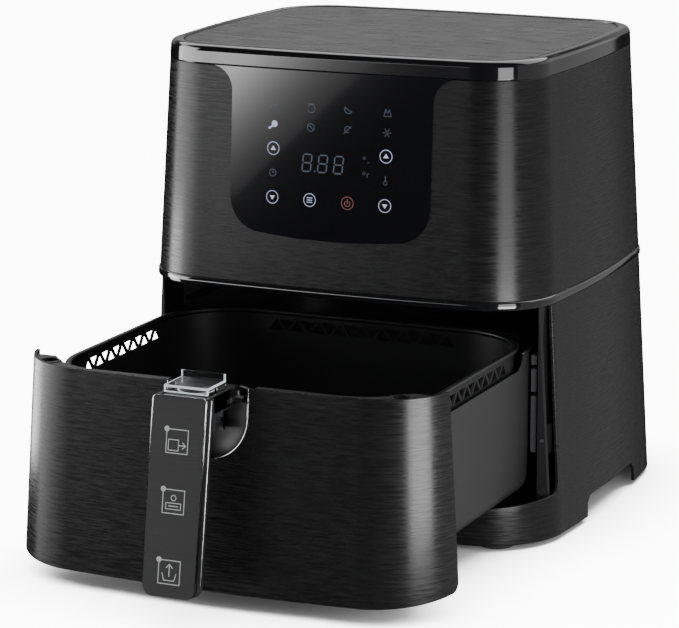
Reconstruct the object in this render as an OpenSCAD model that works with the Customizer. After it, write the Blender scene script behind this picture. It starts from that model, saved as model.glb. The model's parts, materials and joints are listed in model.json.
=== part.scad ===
// Air fryer with a pull-out drawer, a lift-out basket and a guarded release button.
// Millimetres. Z = 0 is the table, the drawer opens towards -Y.
// Most places are measured from the middle of the housing; row_y moves the whole
// model so that the origin is under the middle of the object with its drawer out.

/* [Housing] */
// Height of the crest of the lid ring above the table
body_h = 325; // [310:1:345]
// Width of the housing, carried down to the table
base_w = 314.4; // [308:0.2:330]
// Width of the housing at the crest
top_w = 281.6; // [276:0.2:296]
// Depth of the housing, carried down to the table
base_d = 285.8; // [282:0.2:300]
// Depth of the housing at the crest
top_d = 246.2; // [240:0.2:262]
// Corner radius in plan at the table
base_corner = 56; // [50:1:60]
// Corner radius in plan at the crest
top_corner = 44; // [38:1:48]
// How far each side bulges in plan
side_bow = 3.4; // [1:0.2:5]
// Wall of the moulded shells
wall = 2.4; // [2:0.1:3]
// Gap between the table and the lower edge of the housing
skirt_h = 3.7; // [3:0.1:5]
// Height of the sill under the drawer opening
sill_h = 28.5; // [26:0.5:30]
// Height of the seam between lower housing and trim
split_h = 161.1; // [160.5:0.1:166]
// Height of the trim between the two housings
trim_h = 5.9; // [5:0.1:8]
// How far the trim stands proud
trim_proud = 0.9; // [0.4:0.1:1.5]
// Height of the gloss band of the lid ring
band_h = 9; // [7:0.1:11]
// Height of the rounded shoulder above the band
shoulder_h = 3.7; // [3:0.1:5]
// Front edge of the housing's side walls, where the drawer cover ends
seam_y = -89.7; // [-92:0.1:-88]
// Rounding of the cover's lower rear corners
seam_r = 8; // [6:0.5:9]
// Gap all round the closed drawer cover
cover_gap = 0.8; // [0.6:0.1:1.2]

/* [Side arches] */
// Front end of each arch in the skirt
arch_front = -42; // [-50:1:-36]
// Rear end of each arch
arch_back = 57; // [50:1:60]
// Height of each arch above the table
arch_h = 18; // [15:0.5:19]
// Radius of the arch's upper corners
arch_r = 9; // [5:0.5:12]

/* [Feet] */
// Radius of a rubber foot
foot_r = 11; // [9:0.5:12]
// Height of a rubber foot
foot_h = 4; // [4:0.1:5]
// Distance of the feet from the middle plane
foot_x = 115; // [108:1:116]
// Distance of the feet in front of and behind the middle
foot_y = 108; // [98:1:108]

/* [Control panel] */
// Half width of the gloss panel
panel_half = 73; // [68:0.5:76]
// Lowest point of the panel above the trim between the shells
panel_rise = 32.5; // [30:0.5:36]
// Radius of the lower corners
panel_r = 24; // [18:1:28]
// Radius of the flare where the panel runs into the lid band
panel_flare = 16.4; // [12:0.2:18]
// Thickness of the panel
panel_t = 2.2; // [1.8:0.1:2.4]

/* [Drawer travel] */
// How far the drawer is out at rest
drawer_out = 178; // [174:1:180]
// How much lower the drawer sits there than when it is closed
drawer_drop = 17.8; // [17:0.1:18.2]
// How much further the drawer slides out
drawer_more = 22; // [15:1:22]

/* [Pan and basket] */
// Space between the pan and the lining at each side
pan_gap = 8.3; // [8.2:0.1:11]
// Space between the closed pan and the cover's inner face
front_space = 7.7; // [7.5:0.1:9]
// Rear face of the pan at rest
pan_back = -56; // [-60:0.5:-55]
// Underside of the pan at rest
pan_low = 33.5; // [33:0.1:35]
// Height of the pan's side walls at rest
pan_side = 120; // [116:0.5:122]
// Height of the pan's rear wall at rest
pan_top = 131.5; // [130:0.5:132]
// Corner radius of the pan
pan_r = 48; // [44:1:50]
// Wall of the pan
pan_wall = 1.2; // [1:0.1:1.4]
// Height of the basket's rim at rest
rim_h = 134.5; // [134:0.1:136]
// How far the basket's rim stays inside the pan's sides
rim_gap = 1.7; // [1.5:0.1:3]
// How far the basket's rim stays behind the pan's front
rim_inset = 4; // [3.5:0.1:5]
// Rear edge of the basket's rim
rim_back = -72; // [-76:0.5:-70]
// Height of the basket's lower edge at rest
basket_low = 46; // [44:0.5:48]
// Wall of the basket
basket_wall = 1.5; // [1.2:0.1:1.8]
// Distance between two upright triangular vents
vent_pitch = 16; // [15:0.5:18]
// Base of a triangular vent
vent_w = 11; // [9:0.5:12]
// Height of a triangular vent
vent_h = 7.5; // [6:0.5:8]
// Radius of a hole in the basket's floor plate
hole_r = 3.4; // [3:0.1:4]
// Distance between two holes in the floor plate
hole_pitch = 14; // [13:0.5:16]

/* [Handle] */
// Half width of the handle's face
grip_half = 18.8; // [17:0.2:20]
// Front of the handle's face at its top
grip_front = -349; // [-351:0.5:-347]
// Height of the handle's top at rest
grip_top = 144; // [143:0.2:145]
// Length of the handle's face
grip_len = 124.6; // [110:0.2:126]
// Lean of the handle's face from upright, in degrees
grip_lean = 9.2; // [7:0.1:10]
// Thickness of the handle behind its face
grip_t = 7.5; // [6:0.5:9]
// Radius of the finger recess in the drawer cover
recess_r = 28; // [25:0.5:30]
// Height of the lowest point of the finger recess at rest
recess_low = 95.4; // [92:0.2:98]

/* [Release button] */
// Radius of the button
button_r = 10.4; // [8:0.1:11]
// Distance of the button's axis in front of the housing's middle
button_y = -326; // [-328:0.5:-324]
// Travel of the button
button_travel = 3; // [2:0.1:3.2]
// Half width of the clear guard
guard_half = 15; // [13.6:0.1:15.5]
// Length of the clear guard
guard_len = 25; // [23:0.5:26]
// How far the guard slides forward
guard_travel = 15.5; // [10:0.5:15.5]
// Distance from the latch pin to the button's axis
latch_arm = 13; // [12:0.5:14]

/* [Heating unit] */
// Distance of the fan axis from the housing's middle
fan_y = -6; // [-8:0.5:-4]
// Inner radius of the hood
hood_r = 111; // [108:0.5:112]
// Height of the hood's roof above the cavity's ceiling
hood_rise = 52; // [48:0.5:52]
// Sheet metal thickness
sheet = 1.2; // [1:0.1:1.4]
// Radius of the outer heating ring
ring_r = 94; // [88:0.5:98]
// Radius of the heating tube
tube_r = 3.2; // [2.8:0.1:3.6]
// Radius of the convection fan
fan_r = 56; // [50:0.5:58]
// Number of blades on the convection fan
fan_blades = 14; // [8:1:18]
// Radius of the motor shaft
shaft_r = 3; // [2.5:0.1:3.5]
// Radius of the motor
motor_r = 32; // [26:0.5:34]

/* [Hidden] */
$fn = 64;

// Clearances: seated pieces of one body, and pieces that move past each other
seat = 0.3;
run = 0.3;
eps = 0.01;
// Points of an outline: steps round each corner and along each side
n_arc = 8;
n_side = 6;

// ---- sections of the tapered housing ----
function at_height(low, high, z) = low + (high - low) * z / body_h;
function half_w(z) = at_height(base_w, top_w, z) / 2;
function half_d(z) = at_height(base_d, top_d, z) / 2;
function corner(z) = at_height(base_corner, top_corner, z);

// Point at angle a on corner i of a rounded rectangle (half sizes hw, hd, radius r, centre height ignored)
function corner_point(i, a, hw, hd, r, bow) =
    let(s = [[1, 1], [-1, 1], [-1, -1], [1, -1]][i])
    [s[0] * (hw - bow - r) + r * cos(90 * i + a), s[1] * (hd - bow - r) + r * sin(90 * i + a)];

// Outline of a rounded rectangle whose sides bulge by bow
function bowed(hw, hd, r, bow = 0) = [for (i = [0:3]) each concat(
    [for (j = [0:n_arc]) corner_point(i, 90 * j / n_arc, hw, hd, r, bow)],
    bow == 0 ? [] : [for (j = [1:n_side - 1]) let(t = j / n_side, n = 90 * (i + 1))
        corner_point(i, 90, hw, hd, r, bow) * (1 - t)
        + corner_point((i + 1) % 4, 0, hw, hd, r, bow) * t
        + 4 * bow * t * (1 - t) * [cos(n), sin(n)]])];

// Outline of the housing at height z, moved outwards by out
function outline(z, out = 0) = bowed(half_w(z) + out, half_d(z) + out, corner(z) + out, side_bow);

// Solid through outlines with equal numbers of points; each level is [height, points]
module loft(levels) {
    n = len(levels[0][1]);
    m = len(levels);
    points = [for (l = levels, p = l[1]) [p[0], p[1], l[0]]];
    sides = [for (k = [0:m - 2], i = [0:n - 1]) let(j = (i + 1) % n)
        [k * n + i, (k + 1) * n + i, (k + 1) * n + j, k * n + j]];
    polyhedron(points, concat([[for (i = [0:n - 1]) i]], sides,
        [[for (i = [n - 1:-1:0]) (m - 1) * n + i]]), convexity = 8);
}

// Slice of the housing between two heights, moved outwards by out
module slice(low, high, out = 0) {
    loft([[low, outline(low, out)], [high, outline(high, out)]]);
}

// Rounded rectangle between x = +-hw, y = front..back
module plate2d(hw, front, back, r) {
    translate([-hw + r, front]) square([2 * (hw - r), back - front]);
    translate([-hw, front + r]) square([2 * hw, back - front - 2 * r]);
    for (x = [-hw + r, hw - r], y = [front + r, back - r])
        translate([x, y]) circle(r);
}

// Box between two corners
module box(a, b) {
    translate(a) cube(b - a);
}

// Mirrored pair about the middle plane
module pair() {
    children();
    mirror([1, 0, 0]) children();
}

// Cylinder along X, centred on x = 0
module cross_pin(r, length) {
    rotate([0, 90, 0]) cylinder(r = r, h = length, center = true);
}

// ---- places worked out from the sizes ----
fall = atan(drawer_drop / drawer_out);
post_y = seam_y - 9.3;
band_top = body_h - shoulder_h;
band_low = band_top - band_h;
trim_top = split_h + trim_h;
front_lean = atan((base_d - top_d) / 2 / body_h);
cavity_half = half_w(split_h) - wall - side_bow - 3.5;
pan_half = cavity_half - pan_gap;
pan_front = wall + front_space - half_d(split_h) - drawer_out;
rim_half = pan_half - rim_gap;
rim_front = pan_front + rim_inset;
panel_low = trim_top + panel_rise;
liner_front = -68;
liner_back = half_d(split_h) - wall - side_bow - 1.2;
liner_r = pan_r;
floor_low = arch_h + 4;
plate_low = floor_low - 2.5;
hood_low = split_h + 0.9;
hood_top = hood_low + hood_rise;
far_front = -drawer_out - base_d;
pocket_x = pan_half - 23.5;
arm_top = grip_top - 1;
arm_low = arm_top - 12;
arm_back = -312;
well_floor = arm_low + 3;
guard_top = grip_top + 4;
guard_back = button_y + 10;
latch_y = button_y - latch_arm;
latch_z = arm_low - 4.5;
cap_low = arm_top - 2.5;
grip_foot = grip_front - grip_len * sin(grip_lean);
rail_x = 70;
stem_r = 3.5;
bracket_half = 24;
bracket_low = arm_low + 2.5;
nose_top = latch_z - 8;
keeper_y = pan_front - 1.9;
nose_tip = keeper_y - 5.2;
plate_inset = 8.9;
vent_half = 40;
vent_low = hood_top - 32;
vent_high = hood_top + 32;
gland_x = 70;
gland_z = 34;
gland_r = 7;
board_half = 66;
board_h = band_low - panel_low - 34.8;
board_z = panel_low + 20.5;
board_in = 7.6;
rail_front = -95;
rail_back = 124;
rail_z = pan_low - 9;
leg_x = 40;
probe_x = 60;
probe_y = 62;
duct_half = 30;
duct_low = hood_top - 28;
duct_high = hood_top - 8;
element_z = hood_top - 30;
fan_z = hood_top - 20;
motor_z = hood_top + 6;
cool_z = motor_z + 42;
switch_x = cavity_half + 2.8;
switch_z = 70;
boss_x = pan_half - pan_r + 38.5;
boss_y = pan_front + pan_r - 38.5;
boss_top = split_h - drawer_drop - 12;
row_y = (half_d(skirt_h) + grip_foot) / -2;

// Places the model so that the origin is under the middle of the open object
module placed() translate([0, row_y, 0]) children();

// Moves a piece that is drawn in the closed drawer to where it is at rest
module opened() translate([0, -drawer_out, -drawer_drop]) children();

// Region in front of the seam that the closed cover takes up, smaller by gap
module cover_region(gap) {
    front = -half_d(0) - 4;
    top = gap > 0 ? split_h - gap : split_h + 1;
    r = seam_r - gap;
    turn_y = seam_y - seam_r;
    turn_z = sill_h + gap + (turn_y + half_d(sill_h)) * tan(fall) + r / cos(fall);
    translate([-base_w, 0, 0])
        rotate([90, 0, 90])
            linear_extrude(2 * base_w)
                polygon(concat([[front, sill_h + gap], [-half_d(sill_h), sill_h + gap]],
                    [for (k = [0:5]) let(a = (k / 5 - 1) * (90 - fall)) [turn_y + r * cos(a), turn_z + r * sin(a)]],
                    [[seam_y - gap, top], [front, top]]));
}

// ---- housing ----
module arch_cut() {
    rotate([90, 0, 90])
        linear_extrude(base_w, center = true) {
            translate([arch_front, -1]) square([arch_back - arch_front, arch_h - arch_r + 1]);
            translate([arch_front + arch_r, -1]) square([arch_back - arch_front - 2 * arch_r, arch_h + 1]);
            for (y = [arch_front + arch_r, arch_back - arch_r])
                translate([y, arch_h - arch_r]) circle(arch_r);
        }
}

module lower_housing() color("#2b2b2d") placed() {
    difference() {
        slice(skirt_h, split_h);
        slice(skirt_h - 1, split_h + 1, -wall);
        cover_region(0);
        arch_cut();
        translate([gland_x, 0, gland_z]) rotate([-90, 0, 0]) cylinder(r = gland_r + 0.1, h = base_d);
    }
    // Sill: the upper edge of the skirt turns inwards under the drawer
    intersection() {
        slice(skirt_h, split_h, -wall / 2);
        box([-base_w, -half_d(0), sill_h - 3], [base_w, -half_d(sill_h) + 14, sill_h]);
    }
}

module base_plate() color("#1c1c1e") placed() {
    difference() {
        slice(plate_low, floor_low, -wall - seat);
        for (y = [-70:14:70])
            translate([0, y, 0]) linear_extrude(base_d) plate2d(48, -2.5, 2.5, 2.4);
    }
    pair() for (s = [-1, 1])
        translate([foot_x, s * foot_y, foot_h]) cylinder(r = foot_r + 1, h = plate_low - foot_h + eps);
}

module rubber_feet() color("#151515") placed() {
    pair() for (s = [-1, 1])
        translate([foot_x, s * foot_y, 0]) {
            cylinder(r1 = foot_r - 0.8, r2 = foot_r, h = 1);
            translate([0, 0, 1]) cylinder(r = foot_r, h = foot_h - 1);
        }
}

// Moulded frame behind the seam: two posts and the floor between them
module opening_frame() color("#161618") placed() {
    front = post_y + 0.5;
    difference() {
        intersection() {
            slice(skirt_h, split_h, -wall - seat);
            union() {
                pair() {
                    box([cavity_half - 0.8, front, floor_low], [base_w, front + 2.4, split_h - seat]);
                    box([cavity_half - 0.8, front, floor_low], [cavity_half + 1.2, liner_front - seat, split_h - seat]);
                }
                box([-cavity_half, -half_d(0), floor_low], [cavity_half, liner_front - seat, floor_low + sheet]);
            }
        }
        translate([switch_x, front - 1, switch_z]) rotate([-90, 0, 0]) cylinder(r = 1.4, h = 5);
        // Ways for the runners when the drawer is pulled right out
        pair() box([rail_x - 7, rail_front - drawer_more - 2, floor_low - 1], [rail_x + 7, rail_front + 3, floor_low + 2]);
    }
}

module mid_trim() color("#101012") placed() {
    lip = 0.8;
    difference() {
        loft([[split_h, outline(split_h, trim_proud - lip)],
            [split_h + lip, outline(split_h + lip, trim_proud)],
            [trim_top - lip, outline(trim_top - lip, trim_proud)],
            [trim_top, outline(trim_top, trim_proud - lip)]]);
        slice(split_h - 1, trim_top + 1, -wall - 0.6);
    }
}

// Outline of the control panel in the X-Z plane, grown by grow
module panel2d(grow = 0) {
    w = panel_half + grow;
    f = panel_flare - grow;
    side_low = panel_low + 2.5 + panel_r;
    bottom = 5;
    polygon(concat(
        grow > 0 ? [[panel_half + panel_flare, band_low + 1]] : [],
        [for (a = [90:-15:0]) [panel_half + panel_flare - f * cos(a), band_low + eps - panel_flare + f * sin(a)]],
        [for (a = [0:-15:-90]) [panel_half - panel_r + (panel_r + grow) * cos(a), side_low + (panel_r + grow) * sin(a)]],
        [for (i = [1:bottom - 1]) let(t = i / bottom, x = (panel_half - panel_r) * (1 - 2 * t))
            [x, panel_low - grow + 2.5 * (1 - 4 * t * (1 - t))]],
        [for (a = [270:-15:180]) [-panel_half + panel_r + (panel_r + grow) * cos(a), side_low + (panel_r + grow) * sin(a)]],
        [for (a = [0:15:90]) [-panel_half - panel_flare + f * cos(a), band_low + eps - panel_flare + f * sin(a)]],
        grow > 0 ? [[-panel_half - panel_flare, band_low + 1]] : []));
}

module panel_prism(grow = 0) {
    rotate([90, 0, 0]) linear_extrude(base_d) panel2d(grow);
}

module upper_housing() color("#2b2b2d") placed() {
    difference() {
        slice(trim_top, band_low);
        slice(trim_top - 1, band_low + 1, -wall);
        panel_prism(0.15);
        box([-vent_half + 4, 0, vent_low + 4], [vent_half - 4, base_d, vent_high - 4]);
    }
}

module lid_ring() color("#0c0c0e") placed() {
    difference() {
        loft([[band_low, outline(band_low, 0.1)], [band_top, outline(band_top, 0.1)],
            [band_top + 0.55 * shoulder_h, outline(band_top, -0.8)],
            [band_top + 0.85 * shoulder_h, outline(body_h, -2)],
            [body_h, outline(body_h, -4)]]);
        slice(band_low - 1, band_top - 3.2, -wall);
        slice(band_low, band_top - 0.4, -plate_inset - 5);
        slice(band_top - 0.4, body_h + 1, -plate_inset);
    }
}

module top_plate() color("#58585a") placed() {
    out = -plate_inset - seat;
    loft([[band_top - 0.4, outline(band_top, out)], [body_h - 1.6, outline(body_h, out)],
        [body_h - 0.6, outline(body_h, out - 1.4)]]);
}

module control_panel() color("#08080a") placed() {
    difference() {
        intersection() {
            slice(panel_low - 2, band_low);
            panel_prism();
        }
        slice(panel_low - 3, band_low + 1, -panel_t);
    }
    // Four posts that carry the touch board
    on_board() pair() for (z = [6, board_h - 6])
        translate([board_half - 5, -seat, z]) rotate([90, 0, 0]) cylinder(r = 2.5, h = board_in - panel_t);
}

// Plane of the touch board: z = 0 is its lower edge, y = 0 its front face
module on_board() {
    translate([0, -half_d(board_z) + board_in, board_z]) rotate([-front_lean, 0, 0]) children();
}

module touch_board() color("#1f5a33") placed() {
    on_board() box([-board_half, 0, 0], [board_half, 1.6, board_h]);
}

module display_module() color("#303034") placed() {
    on_board() box([-24, -3.5, 22], [20, -eps, 44]);
}

module rear_vent() color("#19191b") placed() {
    difference() {
        intersection() {
            slice(vent_low - 5, vent_high + 5, 1.8);
            rotate([-90, 0, 0]) mirror([0, 1, 0])
                linear_extrude(base_d) plate2d(vent_half, vent_low, vent_high, 8);
        }
        slice(vent_low - 6, vent_high + 6, eps);
        for (z = [vent_low + 9:7:vent_high - 9])
            box([-vent_half + 9, 0, z - 1.7], [vent_half - 9, base_d, z + 1.7]);
    }
}

module cord_gland() color("#121212") placed() {
    face = half_d(gland_z) - side_bow / 2;
    translate([gland_x, face, gland_z]) rotate([-90, 0, 0])
        difference() {
            union() {
                translate([0, 0, -wall - 5]) cylinder(r = gland_r, h = wall + 8);
                translate([0, 0, 1.3]) cylinder(r = gland_r + 2.5, h = 1.3);
                translate([0, 0, -wall - 3.5]) cylinder(r = gland_r + 1.5, h = 1.5);
            }
            translate([0, 0, -wall - 6]) cylinder(r = 3.6, h = wall + 12);
        }
}

// ---- cavity ----
module cavity_liner() color("#8b8d90") placed() {
    difference() {
        translate([0, 0, floor_low])
            linear_extrude(hood_low - floor_low)
                intersection() {
                    plate2d(cavity_half + sheet, liner_front - 100, liner_back, liner_r);
                    translate([-base_w, liner_front]) square([2 * base_w, base_d]);
                }
        translate([0, 0, floor_low + sheet])
            linear_extrude(hood_low)
                plate2d(cavity_half, liner_front - 120, liner_back - sheet, liner_r - sheet);
    }
}

module side_guides() color("#17171a") placed() {
    pair() box([pan_half + 3, liner_front + 4, pan_top + 2], [cavity_half - eps, 60, pan_top + 5.5]);
}

// Runs along the drawer's path; y = 0 is the middle of the housing, z = 0 the shoe's underside at rest
module along_path() {
    translate([0, rail_front, rail_z]) rotate([fall, 0, 0]) children();
}

module floor_rails() color("#6f7174") placed() {
    length = (rail_back - rail_front) / cos(fall);
    pair() difference() {
        intersection() {
            along_path() translate([rail_x, 0, 0]) difference() {
                box([-8, 0, -40], [8, length, 5.6]);
                box([-6.2, -1, -run], [6.2, length + 1, 4.4 + run]);
                box([-3.4, -1, 0], [3.4, length + 1, 10]);
            }
            box([0, rail_front, floor_low + sheet], [base_w, rail_back - 2, split_h]);
        }
        translate([rail_x, 0, 0]) box([-5, rail_front + 30, 0], [5, rail_back - 10, floor_low + sheet + 1]);
    }
}

// ---- heating unit ----
module hood() color("#9a9c9f") placed() {
    difference() {
        union() {
            translate([0, 0, hood_low]) linear_extrude(sheet)
                plate2d(cavity_half - 4, -half_d(split_h) + 12, liner_back - 1, liner_r);
            translate([0, fan_y, hood_low]) cylinder(r = hood_r + sheet, h = hood_top + sheet - hood_low);
        }
        translate([0, fan_y, hood_low - 1]) cylinder(r = hood_r, h = hood_top - hood_low + 1);
        translate([0, fan_y, hood_top - 1]) cylinder(r = shaft_r + 3, h = 4);
        for (x = [-leg_x, leg_x])
            translate([x, fan_y + sqrt(ring_r * ring_r - leg_x * leg_x), hood_top - 1]) cylinder(r = tube_r + 0.6, h = 4);
        translate([probe_x, probe_y, hood_top - 1]) cylinder(r = 2.1, h = 4);
        box([-duct_half + sheet, fan_y, duct_low + sheet], [duct_half - sheet, base_d, duct_high - sheet]);
    }
}

// Ring grille under the heating element
module air_guide() color("#a5a7aa") placed() {
    translate([0, fan_y, hood_low + sheet + 1]) {
        for (r = [20:15:95])
            difference() {
                cylinder(r = r + 1.2, h = 2);
                translate([0, 0, -1]) cylinder(r = r - 1.2, h = 4);
            }
        for (a = [0:60:120])
            rotate(a) difference() {
                box([-hood_r + 2, -1.5, 0.3], [hood_r - 2, 1.5, 1.7]);
                box([-20, -3, -1], [20, 3, 3]);
            }
        difference() {
            cylinder(r = hood_r - 0.1, h = 2);
            translate([0, 0, -1]) cylinder(r = hood_r - 4, h = 4);
        }
    }
}

module heating_element() color("#3a3a3c") placed() {
    inner = ring_r - 22;
    thin = tube_r - 0.4;
    translate([0, fan_y, element_z]) {
        for (r = [ring_r, inner])
            rotate_extrude() translate([r, 0]) circle(tube_r, $fn = 24);
        // Link between the rings, and the two upright ends that leave through the hood
        translate([inner, 0, 0]) rotate([0, 90, 0]) cylinder(r = thin, h = ring_r - inner);
        for (x = [-leg_x, leg_x])
            translate([x, sqrt(ring_r * ring_r - leg_x * leg_x), 0])
                cylinder(r = thin, h = hood_top + sheet + 10 - element_z);
    }
}

module element_clips() color("#b5b7ba") placed() {
    for (a = [60, 180, 300])
        translate([0, fan_y, 0]) rotate(a) {
            box([ring_r - 40, -4, hood_top - sheet], [ring_r + 8, 4, hood_top]);
            box([ring_r + 6.8, -4, element_z - tube_r - 1.5], [ring_r + 8, 4, hood_top]);
            box([ring_r - 30, -4, element_z - tube_r - 1.5], [ring_r + 8, 4, element_z - tube_r - seat]);
        }
}

module convection_fan() color("#9ea1a5") placed() {
    translate([0, fan_y, fan_z]) difference() {
        union() {
            cylinder(r = 9, h = 14);
            translate([0, 0, 12]) cylinder(r = fan_r, h = 1.2);
            for (i = [0:fan_blades - 1])
                rotate(360 * i / fan_blades) translate([0, -0.6, 0]) cube([fan_r - 1, 1.2, 12.5]);
        }
        translate([0, 0, -1]) cylinder(r = shaft_r + 0.02, h = 20);
    }
}

module motor_shaft() color("#c8cacc") placed() {
    translate([0, fan_y, fan_z - 3]) cylinder(r = shaft_r, h = cool_z + 14 - fan_z);
}

module cooling_fan() color("#26262a") placed() {
    translate([0, fan_y, cool_z]) difference() {
        union() {
            cylinder(r = 9, h = 8);
            for (i = [0:6])
                rotate(360 * i / 7) translate([6, 0, 4]) rotate([28, 0, 0]) translate([0, -7, -0.8]) cube([32, 14, 1.6]);
        }
        translate([0, 0, -5]) cylinder(r = shaft_r + 0.02, h = 20);
    }
}

module fan_motor() color("#76787b") placed() {
    translate([0, fan_y, motor_z]) difference() {
        union() {
            cylinder(r = motor_r, h = 34);
            translate([0, 0, 34]) cylinder(r = 10, h = 4);
        }
        translate([0, 0, -1]) cylinder(r = shaft_r + 0.06, h = 60);
    }
}

module motor_bracket() color("#8f9194") placed() {
    translate([0, fan_y, 0]) difference() {
        union() {
            box([-motor_r - 16, -12, motor_z - 1.6], [motor_r + 16, 12, motor_z]);
            for (x = [-motor_r - 12, motor_r + 12])
                translate([x, 0, hood_top + sheet]) cylinder(r = 4, h = motor_z - 1.6 - hood_top - sheet + eps);
        }
        translate([0, 0, motor_z - 5]) cylinder(r = shaft_r + 4, h = 10);
    }
}

module power_board() color("#2c6b3f") placed() {
    z = hood_top + sheet + 8;
    translate([-hood_r + 25, 12, 0]) {
        box([0, 0, z], [44, 58, z + 1.6]);
        for (x = [4, 40], y = [4, 54])
            translate([x, y, hood_top + sheet]) cylinder(r = 2.5, h = 8 + eps);
        box([8, 10, z + 1], [26, 26, z + 16]);
        box([8, 32, z + 1], [24, 50, z + 12]);
        translate([34, 22, z + 1]) cylinder(r = 6, h = 20);
        translate([34, 40, z + 1]) cylinder(r = 5, h = 14);
    }
}

module exhaust_duct() color("#7d8083") placed() {
    back = half_d(duct_low) - wall - 1.5;
    front = fan_y + hood_r - 4;
    difference() {
        box([-duct_half, front, duct_low], [duct_half, back, duct_high]);
        box([-duct_half + sheet, front - 1, duct_low + sheet], [duct_half - sheet, back + 1, duct_high - sheet]);
        translate([0, fan_y, 0]) cylinder(r = hood_r + sheet + 0.2, h = body_h);
    }
}

module temperature_probe() color("#c4c6c8") placed() {
    translate([probe_x, probe_y, 0]) {
        translate([0, 0, hood_top - 22]) cylinder(r = 2, h = 30);
        translate([0, 0, hood_top + sheet]) cylinder(r = 6, h = 2);
        translate([0, 0, hood_top + sheet]) cylinder(r = 3.5, h = 12);
    }
}

// ---- door switch ----
module door_switch() color("#3c1f1f") placed() {
    difference() {
        box([cavity_half + 1.2, post_y + 6, switch_z - 10], [cavity_half + 5.4, post_y + 26, switch_z + 10]);
        translate([switch_x, post_y, switch_z]) rotate([-90, 0, 0]) cylinder(r = 1.25, h = 18);
    }
}

module switch_plunger() color("#d8d8d8") placed() {
    translate([switch_x, post_y - 1.2, switch_z]) rotate([-90, 0, 0]) cylinder(r = 1.2, h = 14);
}

module frame_screws() color("#2f2f31") placed() {
    pair() translate([cavity_half + 2.6, post_y + 0.5, sill_h + 6]) rotate([90, 0, 0])
        difference() {
            cylinder(r = 2.4, h = 0.7);
            translate([-1.4, -0.35, 0.3]) cube([2.8, 0.7, 1]);
        }
}

// ---- drawer ----
module recess2d(r) {
    translate([0, recess_low + recess_r]) circle(r);
    translate([-r, recess_low + recess_r]) square([2 * r, 60]);
}

// The finger recess as a prism along Y, in rest position
module recess_prism(r, front, back) {
    translate([0, back, 0]) rotate([90, 0, 0]) linear_extrude(back - front) recess2d(r);
}

module front_cover() color("#2b2b2d") placed() {
    difference() {
        opened() intersection() {
            difference() {
                slice(sill_h - 5, split_h + 5);
                slice(sill_h - 6, split_h + 6, -wall);
            }
            cover_region(cover_gap);
        }
        recess_prism(recess_r + 0.2, -half_d(0) - drawer_out - 5, pan_front);
    }
}

// Upright prism round the pan, grown by grow
module pan_space(grow) {
    translate([0, 0, pan_low - 20])
        linear_extrude(pan_top + 20) plate2d(pan_half + grow, pan_front - grow, pan_back + grow, pan_r + grow);
}

// Moulded frame that joins the cover to the pan
module cover_frame() color("#151517") placed() {
    top = split_h - drawer_drop - 1.4;
    low = sill_h - drawer_drop + 8;
    shelf = switch_z - drawer_drop - 1.2;
    difference() {
        intersection() {
            opened() slice(sill_h - 5, split_h + 5, -wall - seat);
            union() {
                box([-pocket_x, far_front, top - 3], [pocket_x, pan_front + 6, top]);
                box([-pocket_x, far_front, low], [pocket_x, pan_front + 6, low + 3]);
                box([-pocket_x, pan_front - 2.2, low], [pocket_x, pan_front + 6, top]);
                pair() for (x = [40, 74, pocket_x - 2])
                    box([x, far_front, low], [x + 2, pan_front + 6, top]);
                // Shelves in the corner pockets, with the screw bosses
                pair() {
                    for (z = [shelf, top - 20, top - 2.4])
                        box([pocket_x - 2, far_front, z], [base_w, boss_y + 13, z + 2.4]);
                    translate([boss_x, boss_y, shelf]) cylinder(r = 3.8, h = boss_top - shelf);
                    // Raised rim round the screw's way in
                    translate([boss_x, boss_y, top - 1]) cylinder(r = 8, h = 1.5);
                }
                // Rib that works the door switch
                opened() box([switch_x - 5, post_y - 12, switch_z - 3], [base_w, post_y - 1.5, switch_z + 3]);
            }
        }
        pan_space(seat);
        recess_prism(recess_r + 2.2, far_front, pan_front + 20);
        pair() translate([boss_x, boss_y, boss_top]) cylinder(r = 5.5, h = 20);
    }
}

// Levels of the pan: [height, inset]
function pan_levels(more) = [[pan_low, 9 + more], [pan_low + 3, 4 + more], [pan_low + 9, 1.2 + more],
    [pan_low + 22, 0.4 + more], [pan_top, more]];

module grip_recess() color("#202023") placed() {
    difference() {
        intersection() {
            recess_prism(recess_r, far_front, pan_front - seat);
            opened() intersection() {
                slice(sill_h, split_h, 0.35);
                cover_region(cover_gap);
            }
        }
        difference() {
            recess_prism(recess_r - 1.6, far_front - 1, keeper_y);
            box([-base_w, keeper_y, 0], [base_w, 0, body_h]);
        }
        // Way for the basket's bracket over the back wall
        box([-bracket_half - 1, pan_front - 10, bracket_low - 1], [bracket_half + 1, pan_front + 5, body_h]);
    }
}

module latch_keeper() color("#8a8c8f") placed() {
    box([-7, keeper_y - 1.2, nose_top - 6], [7, keeper_y, nose_top + 6]);
    box([-7, nose_tip + 0.4, nose_top + run], [7, keeper_y - 1, nose_top + run + 2]);
}

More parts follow.
